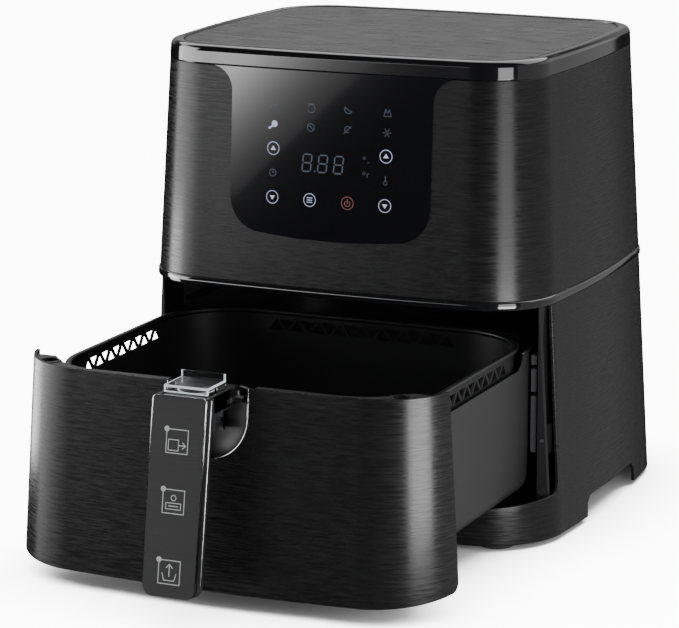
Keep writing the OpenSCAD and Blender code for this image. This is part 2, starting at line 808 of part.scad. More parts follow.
module pan() color("#26262a") placed() {
    mid = (pan_front + pan_back) / 2;
    half = (pan_back - pan_front) / 2;
    difference() {
        translate([0, mid, 0]) {
            loft([for (l = pan_levels(0)) [l[0], bowed(pan_half - l[1], half - l[1], pan_r - l[1])]]);
            // Lip round the rear
            intersection() {
                loft([for (l = [[pan_top - 2.4, 0], [pan_top - 1.6, 1.4], [pan_top, 1.4]])
                    [l[0], bowed(pan_half + l[1], half + l[1], pan_r + l[1])]]);
                box([-base_w, half - 58, 0], [base_w, half + 10, body_h]);
            }
        }
        translate([0, mid, 0])
            loft([for (l = pan_levels(pan_wall)) [l[0] == pan_top ? pan_top + 1 : l[0] + (l[0] < pan_low + 8 ? pan_wall : 0),
                bowed(pan_half - l[1], half - l[1], pan_r - l[1])]]);
        // The side walls stop lower, so that air reaches the basket's vents
        box([-base_w, pan_front + 4, pan_side], [base_w, pan_back - 56, body_h]);
        box([-bracket_half - 1, pan_front - 1, bracket_low - 1], [bracket_half + 1, pan_front + 10, body_h]);
    }
}

// T-shaped shoes under the rear of the pan, riding in the floor rails
module pan_runners() color("#c9cbce") placed() {
    pair() difference() {
        along_path() translate([rail_x, 0, 0]) {
            box([-5.9, 0, 0], [5.9, 28, 4.4]);
            box([-3, 0, 0], [3, 28, 26]);
        }
        box([0, -200, pan_low], [base_w, 0, body_h]);
    }
}

module cover_screws() color("#8e9093") placed() {
    pair() translate([boss_x, boss_y, boss_top]) difference() {
        cylinder(r = 3, h = 1.8);
        translate([-0.5, -2.5, 0.8]) cube([1, 5, 2]);
        translate([-2.5, -0.5, 0.8]) cube([5, 1, 2]);
    }
}

// ---- basket ----
basket_mid = (rim_front + rim_back) / 2;
basket_deep = (rim_back - rim_front) / 2;
basket_r = pan_r - 2;
// Levels of the basket: [height, inset]
function basket_levels(more) = [[basket_low, 11 + more], [basket_low + 3, 6.5 + more], [basket_low + 10, 4 + more],
    [pan_side - 4, 1.5 + more], [rim_h - 2.6, 1.2 + more]];

module basket_form(more) {
    translate([0, basket_mid, 0])
        loft([for (l = basket_levels(more)) [l[0], bowed(rim_half - l[1], basket_deep - l[1], basket_r - l[1])]]);
}

// Row of triangular vents, alternately upright and inverted, cut along Y or X
module vent_row(length) {
    n = floor(length / vent_pitch / 2);
    for (i = [-n:n])
        translate([i * vent_pitch, 0]) {
            polygon([[-vent_w / 2, 0], [vent_w / 2, 0], [0, vent_h]]);
            if (i < n)
                translate([vent_pitch / 2, 0]) polygon([[-vent_w / 2, vent_h], [0, 0], [vent_w / 2, vent_h]]);
        }
}

module basket() color("#1d1d20") placed() {
    vent_z = pan_side + 1.5;
    difference() {
        union() {
            basket_form(0);
            translate([0, basket_mid, 0])
                loft([for (l = [[rim_h - 3.2, 1], [rim_h - 2.4, 0], [rim_h - 0.8, 0], [rim_h, 0.8]])
                    [l[0], bowed(rim_half - l[1], basket_deep - l[1], basket_r - l[1])]]);
        }
        translate([0, basket_mid, 0])
            loft([for (l = concat([[basket_low + 1.5, 11 + basket_wall]], [for (k = [1:4]) let(b = basket_levels(basket_wall)[k])
                [b[0] + (k < 2 ? 1.5 : 0), b[1]]], [[rim_h + 1, 3]]))
                [l[0], bowed(rim_half - l[1], basket_deep - l[1], basket_r - l[1])]]);
        translate([0, basket_mid, basket_low - 1])
            linear_extrude(4) plate2d(rim_half - 20, -basket_deep + 20, basket_deep - 20, basket_r - 20);
        // Flat in the rim where the handle's bracket meets the wall
        box([-bracket_half - 0.4, rim_front - 1, rim_h - 4.5], [bracket_half + 0.4, rim_front + 1.15, rim_h + 1]);
        translate([0, basket_mid, vent_z]) {
            rotate([90, 0, 90]) linear_extrude(3 * rim_half, center = true) vent_row(2 * (basket_deep - basket_r));
            rotate([90, 0, 180]) linear_extrude(basket_deep + 10) vent_row(2 * (rim_half - basket_r));
        }
    }
}

module basket_floor() color("#232327") placed() {
    hw = rim_half - 12;
    hd = basket_deep - 12;
    nx = floor((hw - 12) / hole_pitch);
    ny = floor((hd - 12) / hole_pitch);
    translate([0, basket_mid, basket_low + 1.5])
        linear_extrude(1.5)
            difference() {
                plate2d(hw - 0.5, -hd + 0.5, hd - 0.5, basket_r - 10);
                for (i = [-nx:nx], j = [-ny:ny])
                    if (abs(i) + abs(j) < nx + ny - 2 && abs(i) + abs(j) > 0)
                        translate([i * hole_pitch, j * hole_pitch]) circle(hole_r, $fn = 24);
            }
}

module basket_pads() color("#5c5c60") placed() {
    height = basket_low - pan_low - pan_wall - run;
    for (x = [46 - rim_half, rim_half - 46], y = [32.5 - basket_deep, basket_deep - 32.5])
        translate([x, basket_mid + y, basket_low - height + eps]) cylinder(r = 6, h = height);
}

// Steel strap from the basket's front wall to the handle
module handle_bracket() color("#7b7d80") placed() {
    wall_y = rim_front + 1.2;
    box([-bracket_half, arm_back, bracket_low], [bracket_half, wall_y - 0.2, bracket_low + 3]);
    box([-bracket_half, wall_y - 1.8, bracket_low - 24], [bracket_half, wall_y - 0.2, bracket_low + 3]);
}

// Plane of the handle's face: z = 0 is its top, y = 0 its front
module on_grip() {
    translate([0, grip_front, grip_top]) rotate([-grip_lean, 0, 0]) children();
}

module face2d(half, length, r) {
    translate([-half, -length + r]) square([2 * half, length - r]);
    translate([-half + r, -length]) square([2 * (half - r), length]);
    for (x = [-half + r, half - r])
        translate([x, -length + r]) circle(r);
}

module face_plate(half, length, r, front, back) {
    on_grip() translate([0, back, 0]) rotate([90, 0, 0]) linear_extrude(back - front) face2d(half, length, r);
}

module handle_core() color("#131315") placed() {
    difference() {
        union() {
            // Grip behind the face, cut level with the top of the arm
            intersection() {
                face_plate(grip_half - 0.8, grip_len - 0.8, 7, 3, 3 + grip_t);
                box([-base_w, -500, 0], [base_w, 0, arm_top]);
            }
            // Arm that reaches back to the bracket
            box([-grip_half + 1.2, grip_front + 6, arm_low], [grip_half - 1.2, arm_back, arm_top]);
            // Ribs under the arm
            pair() translate([grip_half - 5, 0, 0]) rotate([90, 0, 90]) linear_extrude(3)
                polygon([[grip_front + 7, arm_low + 1], [grip_front + 19, arm_low + 1], [grip_front + 7, arm_low - 14]]);
            // Ears for the latch pin
            pair() box([6.5, latch_y - 4, latch_z - 4], [10, latch_y + 4, arm_low + 1]);
        }
        // Well and guide of the button
        translate([0, button_y, well_floor]) cylinder(r = button_r + 0.2, h = 20);
        translate([0, button_y, arm_low - 1]) cylinder(r = stem_r + 0.06, h = 10);
        // Room for the lever between the ears and behind the grip
        box([-6.5, latch_y - 6, latch_z - 8], [6.5, arm_back + 1, arm_low]);
        translate([0, latch_y, latch_z]) cross_pin(1.5 + 0.02, 22.2);
        // Grooves of the guard
        pair() box([guard_half - 1.7, guard_back - 13.2 - guard_travel - 0.4, arm_top - 3.9],
            [guard_half + 0.3, arm_back + 1, arm_top + 1]);
        // Seat of the bracket
        box([-bracket_half - 0.1, arm_back - 8, bracket_low - 0.1], [bracket_half + 0.1, arm_back + 1, bracket_low + 3.1]);
    }
}

module handle_trim() color("#b9bbbe") placed() {
    difference() {
        face_plate(grip_half, grip_len, 7.8, 1.8, 3);
        box([-base_w, -500, arm_top], [base_w, 0, body_h]);
    }
}

module handle_face() color("#1a1a1c") placed() {
    face_plate(grip_half - 0.5, grip_len - 0.5, 7.3, 0, 1.8);
}

module handle_screws() color("#9a9c9f") placed() {
    for (x = [-11.5, 11.5])
        translate([x, arm_back - 4, arm_low - 0.9]) difference() {
            cylinder(r = 2.2, h = 0.9);
            translate([-0.4, -1.8, -0.5]) cube([0.8, 3.6, 1]);
        }
}

module latch_pin() color("#c4c6c8") placed() {
    translate([0, latch_y, latch_z]) cross_pin(1.5, 22);
}

module button_guard() color([0.85, 0.9, 0.92, 0.35]) placed() {
    front = guard_back - guard_len;
    box([-guard_half, front, guard_top - 1.4], [guard_half, guard_back, guard_top]);
    pair() box([guard_half - 1.4, guard_back - 13.2, arm_top - 3.6], [guard_half, guard_back, guard_top - 1]);
    // Thumb catch on the rear edge
    box([-guard_half, guard_back - 1.4, guard_top - 1], [guard_half, guard_back, guard_top + 4]);
}

module release_button() color("#3b3b3f") placed() {
    translate([0, button_y, 0]) {
        difference() {
            translate([0, 0, cap_low]) cylinder(r = button_r, h = guard_top - 2.2 - cap_low);
            translate([0, 0, guard_top - 2.2 + 30]) sphere(r = 30.6, $fn = 96);
        }
        translate([0, 0, arm_low + 1.2]) cylinder(r = stem_r, h = cap_low - arm_low - 1.2 + eps);
        translate([0, 0, arm_low - 0.5]) cylinder(r = 1.8, h = 2);
    }
}

// Helical compression spring round the button's stem
module button_spring() color("#b8babd") placed() {
    turns = 3.5;
    steps = 12;
    sides = 6;
    wire = 0.45;
    r = stem_r + 1.6;
    low = well_floor + wire + 0.02;
    high = cap_low - wire - 0.02;
    rings = [for (k = [0:turns * steps]) let(a = 360 * k / steps, z = low + (high - low) * k / (turns * steps))
        [for (s = [0:sides - 1]) let(b = 360 * s / sides)
            [(r + wire * cos(b)) * cos(a), (r + wire * cos(b)) * sin(a), z + wire * sin(b)]]];
    n = len(rings);
    translate([0, button_y, 0])
        polyhedron([for (ring = rings, p = ring) p], concat(
            [[for (s = [0:sides - 1]) s]],
            [for (k = [0:n - 2], s = [0:sides - 1]) let(t = (s + 1) % sides)
                [k * sides + s, (k + 1) * sides + s, (k + 1) * sides + t, k * sides + t]],
            [[for (s = [sides - 1:-1:0]) (n - 1) * sides + s]]), convexity = 6);
}

// Rocker: the button's stem presses its rear arm, the nose swings out of the keeper
module latch_lever() color("#8f9194") placed() {
    difference() {
        union() {
            translate([0, latch_y, latch_z]) cross_pin(4, 12);
            box([-6, latch_y, latch_z], [6, nose_tip - 6, arm_low - 0.8]);
            box([-6, nose_tip - 9, nose_top - 4], [6, nose_tip - 6, arm_low - 0.8]);
            box([-6, nose_tip - 9, nose_top - 4], [6, nose_tip, nose_top]);
        }
        translate([0, latch_y, latch_z]) cross_pin(1.56, 2 * grip_half);
    }
}

lower_housing();
base_plate();
rubber_feet();
opening_frame();
mid_trim();
upper_housing();
lid_ring();
top_plate();
control_panel();
touch_board();
display_module();
rear_vent();
cord_gland();
cavity_liner();
side_guides();
floor_rails();
hood();
air_guide();
heating_element();
element_clips();
convection_fan();
motor_shaft();
cooling_fan();
fan_motor();
motor_bracket();
power_board();
exhaust_duct();
temperature_probe();
door_switch();
switch_plunger();
frame_screws();
front_cover();
cover_frame();
grip_recess();
latch_keeper();
pan();
pan_runners();
cover_screws();
basket();
basket_floor();
basket_pads();
handle_bracket();
handle_core();
handle_trim();
handle_face();
handle_screws();
latch_pin();
button_guard();
release_button();
button_spring();
latch_lever();
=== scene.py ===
import bpy
import bmesh
import json
import math
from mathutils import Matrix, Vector


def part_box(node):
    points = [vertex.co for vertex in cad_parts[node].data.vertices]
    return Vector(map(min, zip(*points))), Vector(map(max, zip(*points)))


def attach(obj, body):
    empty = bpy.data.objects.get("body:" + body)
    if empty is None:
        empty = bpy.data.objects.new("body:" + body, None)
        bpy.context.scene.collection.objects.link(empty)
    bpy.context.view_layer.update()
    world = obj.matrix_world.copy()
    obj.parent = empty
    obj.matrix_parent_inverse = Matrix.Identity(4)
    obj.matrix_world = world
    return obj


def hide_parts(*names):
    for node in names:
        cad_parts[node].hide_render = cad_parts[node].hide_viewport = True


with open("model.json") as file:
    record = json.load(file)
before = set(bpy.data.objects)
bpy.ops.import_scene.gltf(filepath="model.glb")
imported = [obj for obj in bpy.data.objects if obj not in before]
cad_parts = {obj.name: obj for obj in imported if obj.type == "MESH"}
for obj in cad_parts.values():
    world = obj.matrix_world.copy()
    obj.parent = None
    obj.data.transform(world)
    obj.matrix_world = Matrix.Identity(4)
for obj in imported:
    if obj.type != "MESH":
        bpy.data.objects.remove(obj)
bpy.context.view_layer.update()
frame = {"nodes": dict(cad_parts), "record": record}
nodes = frame["nodes"]

# Sizes are in millimetres from the middle of the housing: -y is the front, z the height above the floor.
# ROW moves the middle of the housing to its place in the frame.
MM = 0.001
lo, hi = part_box("lower_housing")
ROW = (lo.y + hi.y) / 2 / MM

# Housing: width, depth and corner radius at the floor and at the crest, wall, and bulge of each side
BODY_H = 325.0
BASE_W, TOP_W = 314.4, 281.6
BASE_D, TOP_D = 285.8, 246.2
BASE_CORNER, TOP_CORNER = 56, 44
WALL, BOW = 2.4, 3.4
# Heights: skirt's lower and upper edge, split under the trim, trim's top, gloss band under the lid
SKIRT_LOW, SILL = 3.7, 28.5
SPLIT, TRIM_TOP = 161.1, 167.0
BAND_LOW, BAND_TOP = 312.3, 321.3
# Seam between the drawer's cover and the housing's side, and the radius of its lower corner
SEAM, SEAM_R = -89.7, 8.0
GAP = 0.8
# How far the photographed drawer stands out, and how far it has sunk along its rails
OUT, DROP = 178.0, 17.8

QUARTERS = ((1, 1), (-1, 1), (-1, -1), (1, -1))
SIDES = ((-1, "left"), (1, "right"))
# Points nearer than this, in metres, are welded
WELD = 2e-6


# ---------------------------------------------------------------- outlines
def lerp(a, b, t):
    return a + (b - a) * t


def ease(t):
    t = max(0.0, min(1.0, t))
    return t * t * (3 - 2 * t)


def at(low, high, z):
    """Size at height z of a housing that tapers from low at the floor to high at the crest."""
    return low + (high - low) * z / BODY_H


def half_w(z):
    return at(BASE_W, TOP_W, z) / 2


def half_d(z):
    return at(BASE_D, TOP_D, z) / 2


def corner(z):
    return at(BASE_CORNER, TOP_CORNER, z)


def polar(cx, cy, r, degrees):
    a = math.radians(degrees)
    return (cx + r * math.cos(a), cy + r * math.sin(a))


def arc(cx, cy, r, a0, a1, n=10):
    return [polar(cx, cy, r, a0 + (a1 - a0) * i / n) for i in range(n + 1)]


def rounded(x0, y0, x1, y1, r, n=6):
    """Rounded rectangle, anticlockwise."""
    centres = ((x1 - r, y1 - r), (x0 + r, y1 - r), (x0 + r, y0 + r), (x1 - r, y0 + r))
    return [p for i, c in enumerate(centres) for p in arc(*c, r, 90 * i, 90 * i + 90, n)]


def loop(hw, hd, r, bow, n_arc=18, n_side=12):
    """Rounded rectangle with bulging sides, anticlockwise from the right rear corner."""
    centres = [(sx * (hw - bow - r), sy * (hd - bow - r)) for sx, sy in QUARTERS]
    pts = []
    for i, centre in enumerate(centres):
        pts += arc(*centre, r, 90 * i, 90 * i + 90, n_arc)
        a = math.radians(90 * (i + 1))
        p0, p1 = pts[-1], polar(*centres[(i + 1) % 4], r, 90 * (i + 1))
        for j in range(1, n_side):
            t = j / n_side
            b = 4 * bow * t * (1 - t)
            pts.append((p0[0] * (1 - t) + p1[0] * t + b * math.cos(a),
                        p0[1] * (1 - t) + p1[1] * t + b * math.sin(a)))
    return pts


def house(z, out=0.0, n_arc=18, n_side=12):
    """The housing's outline at height z, moved outward by out."""
    return loop(half_w(z) + out, half_d(z) + out, corner(z) + out, BOW, n_arc, n_side)


def crossing(y, cy, r):
    """Angle on a front corner's arc at which it reaches depth y."""
    return math.degrees(math.asin(min(1, max(-1, (-y - cy) / r))))


def across(cx, edge, sign, n=40):
    """Points of the front (sign -1) or rear (sign 1) side between its corners."""
    return [(cx - 2 * cx * j / n, sign * (edge - BOW + 4 * BOW * (j / n) * (1 - j / n))) for j in range(1, n)]


def mirrored(half, mid):
    return half + mid + [(-x, y) for x, y in reversed(half)]


def front_path(z, out, y_end, turn=0.0, n_arc=16):
    """The outline in front of y_end, from the right to the left, with fine columns over a turn beside y_end."""
    hd, r = half_d(z) + out, corner(z) + out
    cx, cy = half_w(z) + out - BOW - r, hd - BOW - r
    angles = [crossing(y_end, cy, r)]
    for k in range(1, 10 if turn else 1):
        y = turn * (1 - math.cos(math.radians(12 * k)))
        angles.append(math.degrees(math.asin(min(1, (y - y_end - cy) / r))))
    last = angles[-1]
    angles += [last + (90 - last) * j / n_arc for j in range(1, n_arc + 1)]
    half = [(x, -y) for x, y in (polar(cx, cy, r, a) for a in angles)]
    return mirrored(half, across(cx, hd, -1))


def rear_path(z, out, n_turn=6, n_side=14, n_arc=16):
    """The outline behind the seam, from the right to the left."""
    hw, hd, r = half_w(z) + out, half_d(z) + out, corner(z) + out
    cx, cy = hw - BOW - r, hd - BOW - r
    phi = crossing(SEAM, cy, r)
    half = [(x, -y) for x, y in (polar(cx, cy, r, phi * (1 - j / n_turn)) for j in range(n_turn + 1))]
    for j in range(1, n_side):
        t = j / n_side
        half.append((hw - BOW + 4 * BOW * t * (1 - t), -cy + 2 * cy * t))
    half += arc(cx, cy, r, 0, 90, n_arc)
    return mirrored(half, across(cx, hd, 1))


def sill_z(y, gap=0.0):
    """Lower edge of the cover: a slope that turns up round the seam's lower corner."""
    fall = DROP / OUT
    turn, r = SEAM - SEAM_R, SEAM_R - gap
    if y > turn:
        low = SILL + gap + (turn + half_d(SILL)) * fall + r * math.hypot(1, fall)
        return low - math.sqrt(max(0.0, r * r - (y - turn) ** 2))
    return SILL + gap + max(0.0, y + half_d(SILL)) * fall


def front_y(x, z, out=0.0):
    """Depth of the housing's bulging front."""
    cx = half_w(z) - BOW - corner(z)
    return -(half_d(z) + out - BOW * min(1.0, (x / cx) ** 2))


# ---------------------------------------------------------------- meshes
def place(p, opened=False):
    """Point in the frame. opened moves a point of the closed drawer to where the photograph has it."""
    x, y, z = p
    if opened:
        y, z = y - OUT, z - DROP
    return Vector((x * MM, (y + ROW) * MM, z * MM))


def flat(rows):
    return [p for row in rows for p in row]


def grid_quads(rows, cols, closed=False, start=0):
    """Faces of a grid that is stored row by row."""
    out = []
    for r in range(rows - 1):
        for c in range(cols if closed else cols - 1):
            d = (c + 1) % cols
            low, high = start + r * cols, start + (r + 1) * cols
            out.append([low + c, low + d, high + d, high + c])
    return out


def mesh_object(name, points, faces, weld=0.0):
    """Object from points in metres, with its faces turned outward."""
    me = bpy.data.meshes.new(name)
    me.from_pydata(points, [], faces)
    me.validate()
    bm = bmesh.new()
    bm.from_mesh(me)
    if weld:
        bmesh.ops.remove_doubles(bm, verts=bm.verts, dist=weld)
    bmesh.ops.recalc_face_normals(bm, faces=bm.faces)
    bm.to_mesh(me)
    bm.free()
    ob = bpy.data.objects.new(name, me)
    bpy.context.scene.collection.objects.link(ob)
    return ob


def new_object(name, verts, faces, mat, body, replaces=(), shaded=True, opened=False):
    """Piece of the scene that rides on a body, and may stand in for CAD nodes."""
    ob = mesh_object(name, [place(v, opened) for v in verts], faces, WELD)
    if shaded:
        ob.data.shade_smooth()
    ob.data.materials.append(mat)
    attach(ob, body)
    if replaces:
        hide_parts(*replaces)
    return ob


def thick(name, outer, inner, quads, mat, body, replaces=(), opened=False):
    """Closed wall between two point sets with the same faces; open edges get a rim."""
    index, remap, out_pts, in_pts = {}, [], [], []
    for p, q in zip(outer, inner):
        key = tuple(round(v, 3) for v in p)
        if key not in index:
            index[key] = len(out_pts)
            out_pts.append(p)
            in_pts.append(q)
        remap.append(index[key])
    n = len(out_pts)
    faces, edges = [], {}
    for quad in quads:
        face = list(dict.fromkeys(remap[i] for i in quad))
        if len(face) < 3:
            continue
        faces.append(face)
        for a, b in zip(face, face[1:] + face[:1]):
            edges.setdefault((min(a, b), max(a, b)), []).append((a, b))
    rims = [(b, a, a + n, b + n) for a, b in (pair[0] for pair in edges.values() if len(pair) == 1)]
    backs = [[i + n for i in reversed(f)] for f in faces]
    return new_object(name, out_pts + in_pts, faces + backs + rims, mat, body, replaces, opened=opened)


def sweep(name, profile, outline, mat, body, replaces=()):
    """Closed profile of points (z, out) carried round outline(z, out)."""
    rows = [[(x, y, z) for x, y in outline(z, out)] for z, out in profile]
    n, cols = len(rows), len(rows[0])
    faces = []
    for r in range(n):
        low, high = r * cols, (r + 1) % n * cols
        faces += [[low + c, low + (c + 1) % cols, high + (c + 1) % cols, high + c] for c in range(cols)]
    return new_object(name, flat(rows), faces, mat, body, replaces)


def bevel(ob, width=0.4, segments=2, angle=35):
    m = ob.modifiers.new("edge", "BEVEL")
    m.width = width * MM
    m.segments = segments
    m.limit_method = "ANGLE"
    m.angle_limit = math.radians(angle)
    w = ob.modifiers.new("shade", "WEIGHTED_NORMAL")
    w.keep_sharp = True
    w.weight = 80
    return ob


def cut(ob, *cutters):
    """Take the cutters out of a piece, and remove them."""
    for cutter in cutters:
        m = ob.modifiers.new("cut", "BOOLEAN")
        m.operation = "DIFFERENCE"
        m.solver = "EXACT"
        m.object = cutter
    bpy.context.view_layer.update()
    done = bpy.data.meshes.new_from_object(ob.evaluated_get(bpy.context.evaluated_depsgraph_get()))
    old = ob.data
    ob.modifiers.clear()
    ob.data = done
    bpy.data.meshes.remove(old)
    for cutter in cutters:
        bpy.data.objects.remove(cutter)
    ob.data.shade_smooth()
    return ob


def prisms(outlines, lift, low, high):
    """One cutter of prisms over 2-D outlines. lift turns a point and a depth into a point of the scene."""
    verts, faces = [], []
    for points in outlines:
        k, n = len(verts), len(points)
        verts += [place(lift(p, q, d)) for d in (low, high) for p, q in points]
        faces += [list(range(k, k + n)), list(range(k + 2 * n - 1, k + n - 1, -1))]
        faces += [[k + i, k + i + n, k + (i + 1) % n + n, k + (i + 1) % n] for i in range(n)]
    return mesh_object("cutter", verts, faces)


def block(name, low, high, mat, body, slot=None, width=0.25):
    """Bevelled box between two corners."""
    (x0, y0, z0), (x1, y1, z1) = low, high
    verts = [(x, y, z) for z in (z0, z1) for x, y in ((x0, y0), (x1, y0), (x1, y1), (x0, y1))]
    faces = [[3, 2, 1, 0], [4, 5, 6, 7], [0, 1, 5, 4], [1, 2, 6, 5], [2, 3, 7, 6], [3, 0, 4, 7]]
    return bevel(new_object(name, verts, faces, mat, body), width, 2, 30)


# ---------------------------------------------------------------- materials
def node(tree, kind, inputs=None, **settings):
    """New shader node. Its inputs are set to numbers, or linked to the outputs of other nodes."""
    made = tree.nodes.new("ShaderNode" + kind)
    for key, value in settings.items():
        setattr(made, key, value)
    for key, value in (inputs or {}).items():
        if isinstance(value, bpy.types.NodeSocket):
            tree.links.new(value, made.inputs[key])
        else:
            made.inputs[key].default_value = value
    return made


def tinted(color, factor):
    return (*[min(1, c * factor) for c in color], 1)


def material(name, color, rough, metallic=0.0, spec=0.5, coat=0.0, coat_rough=0.05, transmission=0.0, ior=1.5,
             emission=None, glow=0.0, mottle=0.0, grain=0.0, grain_scale=900, brush=None, brush_amount=0.1,
             brush_bump=0.02):
    """Principled material, with brushed streaks or with soft mottling and fine grain."""
    made = bpy.data.materials.new(name)
    made.use_nodes = True
    tree = made.node_tree
    tree.nodes.clear()
    shader = node(tree, "BsdfPrincipled", {
        "Base Color": (*color, 1), "Metallic": metallic, "Roughness": rough, "Specular IOR Level": spec,
        "Coat Weight": coat, "Coat Roughness": coat_rough, "IOR": ior, "Transmission Weight": transmission})
    node(tree, "OutputMaterial", {"Surface": shader.outputs[0]})
    if emission:
        shader.inputs["Emission Color"].default_value = (*emission, 1)
        shader.inputs["Emission Strength"].default_value = glow
    if not (brush or mottle or grain):
        return made
    where = node(tree, "TexCoord").outputs["Object"]
    if brush:
        stretched = node(tree, "Mapping", {"Vector": where, "Scale": brush}).outputs[0]
        relief = node(tree, "TexNoise", {"Vector": stretched, "Scale": 1.0, "Detail": 5.0,
                                         "Roughness": 0.68}).outputs["Fac"]
        spread = node(tree, "MapRange", {"Value": relief, "From Min": 0.3, "From Max": 0.7,
                                         "To Min": max(0.02, rough - brush_amount),
                                         "To Max": min(1.0, rough + brush_amount)}).outputs[0]
        blend = node(tree, "MapRange", {"Value": relief, "From Min": 0.32, "From Max": 0.68}).outputs[0]
        dark, light, depth = tinted(color, 1 - 2.2 * brush_amount), tinted(color, 1 + 3.2 * brush_amount), brush_bump
    else:
        relief = node(tree, "TexNoise", {"Vector": where, "Scale": grain_scale, "Detail": 3.0}).outputs["Fac"]
        blend = node(tree, "TexNoise", {"Vector": where, "Scale": 28, "Detail": 4.0}).outputs["Fac"]
        spread = node(tree, "MapRange", {"Value": blend, "To Min": max(0.0, rough - 0.5 * mottle),
                                         "To Max": min(1.0, rough + 0.5 * mottle)}).outputs[0]
        dark, light, depth = tinted(color, 1 - 0.6 * mottle), tinted(color, 1 + 0.6 * mottle), grain
    tree.links.new(spread, shader.inputs["Roughness"])
    mix = node(tree, "Mix", {"Factor": blend, "A": dark, "B": light}, data_type="RGBA")
    tree.links.new(mix.outputs["Result"], shader.inputs["Base Color"])
    if depth > 0:
        bump = node(tree, "Bump", {"Height": relief, "Strength": 0.6, "Distance": depth * MM})
        tree.links.new(bump.outputs[0], shader.inputs["Normal"])
    return made


SHELL = material("shell_black", (0.017, 0.017, 0.0175), 0.27, metallic=0.5,
                 brush=(60, 60, 1150), brush_amount=0.12, brush_bump=0.035)
GLOSS = material("gloss_black", (0.006, 0.006, 0.007), 0.10, spec=0.6, coat=0.8, coat_rough=0.03, mottle=0.02)
BOWL = material("bowl_satin", (0.007, 0.007, 0.0075), 0.36, metallic=0.25, mottle=0.05)
TOP = material("top_brushed", (0.085, 0.085, 0.086), 0.36, metallic=0.85,
               brush=(34, 240, 240), brush_amount=0.17, brush_bump=0.05)
PANEL = material("panel_black", (0.004, 0.004, 0.0055), 0.07, spec=0.55, coat=1.0, coat_rough=0.02, mottle=0.02)
PAN = material("pan_dark", (0.030, 0.030, 0.031), 0.42, metallic=0.3, mottle=0.10, grain=0.010, grain_scale=1400)
BASKET = material("basket_black", (0.012, 0.012, 0.013), 0.36, metallic=0.2,
                  mottle=0.12, grain=0.012, grain_scale=1100)
INNER = material("inner_black", (0.011, 0.011, 0.012), 0.42, mottle=0.10, grain=0.012, grain_scale=1600)
LINER = material("liner_steel", (0.30, 0.30, 0.31), 0.42, metallic=0.9,
                 brush=(10, 10, 700), brush_amount=0.08, brush_bump=0.008)
STEEL = material("sheet_steel", (0.36, 0.36, 0.37), 0.38, metallic=1.0, mottle=0.15, grain=0.006)
CHROME = material("trim_bright", (0.62, 0.62, 0.64), 0.18, metallic=1.0, mottle=0.06)
CLEAR = material("clear_plastic", (0.93, 0.95, 0.96), 0.05, transmission=1.0, ior=1.46, mottle=0.03)
BUTTON = material("button_grey", (0.045, 0.045, 0.048), 0.32, mottle=0.08, grain=0.006)
RUBBER = material("rubber_black", (0.014, 0.014, 0.014), 0.75, mottle=0.15, grain=0.02, grain_scale=1300)
PAD = material("pad_grey", (0.10, 0.10, 0.105), 0.6, mottle=0.1, grain=0.01)
BOARD = material("board_green", (0.012, 0.09, 0.03), 0.4, mottle=0.25, grain=0.01)
ELEMENT = material("element_dark", (0.05, 0.048, 0.046), 0.5, metallic=0.6, mottle=0.3, grain=0.01)
SCREW = material("screw_steel", (0.40, 0.40, 0.41), 0.3, metallic=1.0, mottle=0.12, grain=0.004)
DUCT = material("duct_steel", (0.25, 0.25, 0.26), 0.4, metallic=0.9, mottle=0.15, grain=0.006)
ICON = material("icon_light", (0.055, 0.070, 0.095), 0.35, mottle=0.05, emission=(0.30, 0.40, 0.60), glow=0.020)
ICON_LIT = material("icon_lit", (0.42, 0.45, 0.62), 0.35, mottle=0.05, emission=(0.60, 0.66, 0.98), glow=0.30)
ICON_RED = material("icon_red", (0.26, 0.10, 0.09), 0.35, mottle=0.05, emission=(0.70, 0.24, 0.20), glow=0.14)
GRIP = material("grip_face", (0.020, 0.020, 0.021), 0.33, metallic=0.4,
                brush=(14, 400, 900), brush_amount=0.07, brush_bump=0.004)
# Painted glow: near-white with emission, so the pieces that wear it glow though they are no lamp.
GLINT = material("clear_edge_glow", (0.90, 0.92, 0.93), 0.3, mottle=0.06, emission=(0.85, 0.90, 0.95), glow=0.45)
PRINT = material("print_white", (0.55, 0.56, 0.57), 0.5, mottle=0.06)

# The CAD pieces wear the material of their slot
SLOTS = {"shell_black": SHELL, "gloss_black": GLOSS, "top_brushed": TOP, "panel_black": PANEL, "pan_dark": PAN,
         "basket_black": BASKET, "inner_black": INNER, "liner_steel": LINER, "sheet_steel": STEEL,
         "trim_bright": CHROME, "clear_plastic": CLEAR, "button_grey": BUTTON, "rubber_black": RUBBER,
         "pad_grey": PAD, "board_green": BOARD, "element_dark": ELEMENT, "screw_steel": SCREW, "duct_steel": DUCT}
for part in frame["record"]["subparts"]:
    worn = nodes[part["node"]].data.materials
    worn.clear()
    worn.append(SLOTS[part["material_slot"]])


# ---------------------------------------------------------------- housing
# Arch under each side of the lower housing: y and z of two opposite corners, and the radius
ARCH = (-42, -30, 57, 18, 8)


def layer(outline, z):
    return [(x, y, z) for x, y in outline]


def along_x(p, q, d):
    return (d, p, q)


def along_y(p, q, d):
    return (p, d, q)


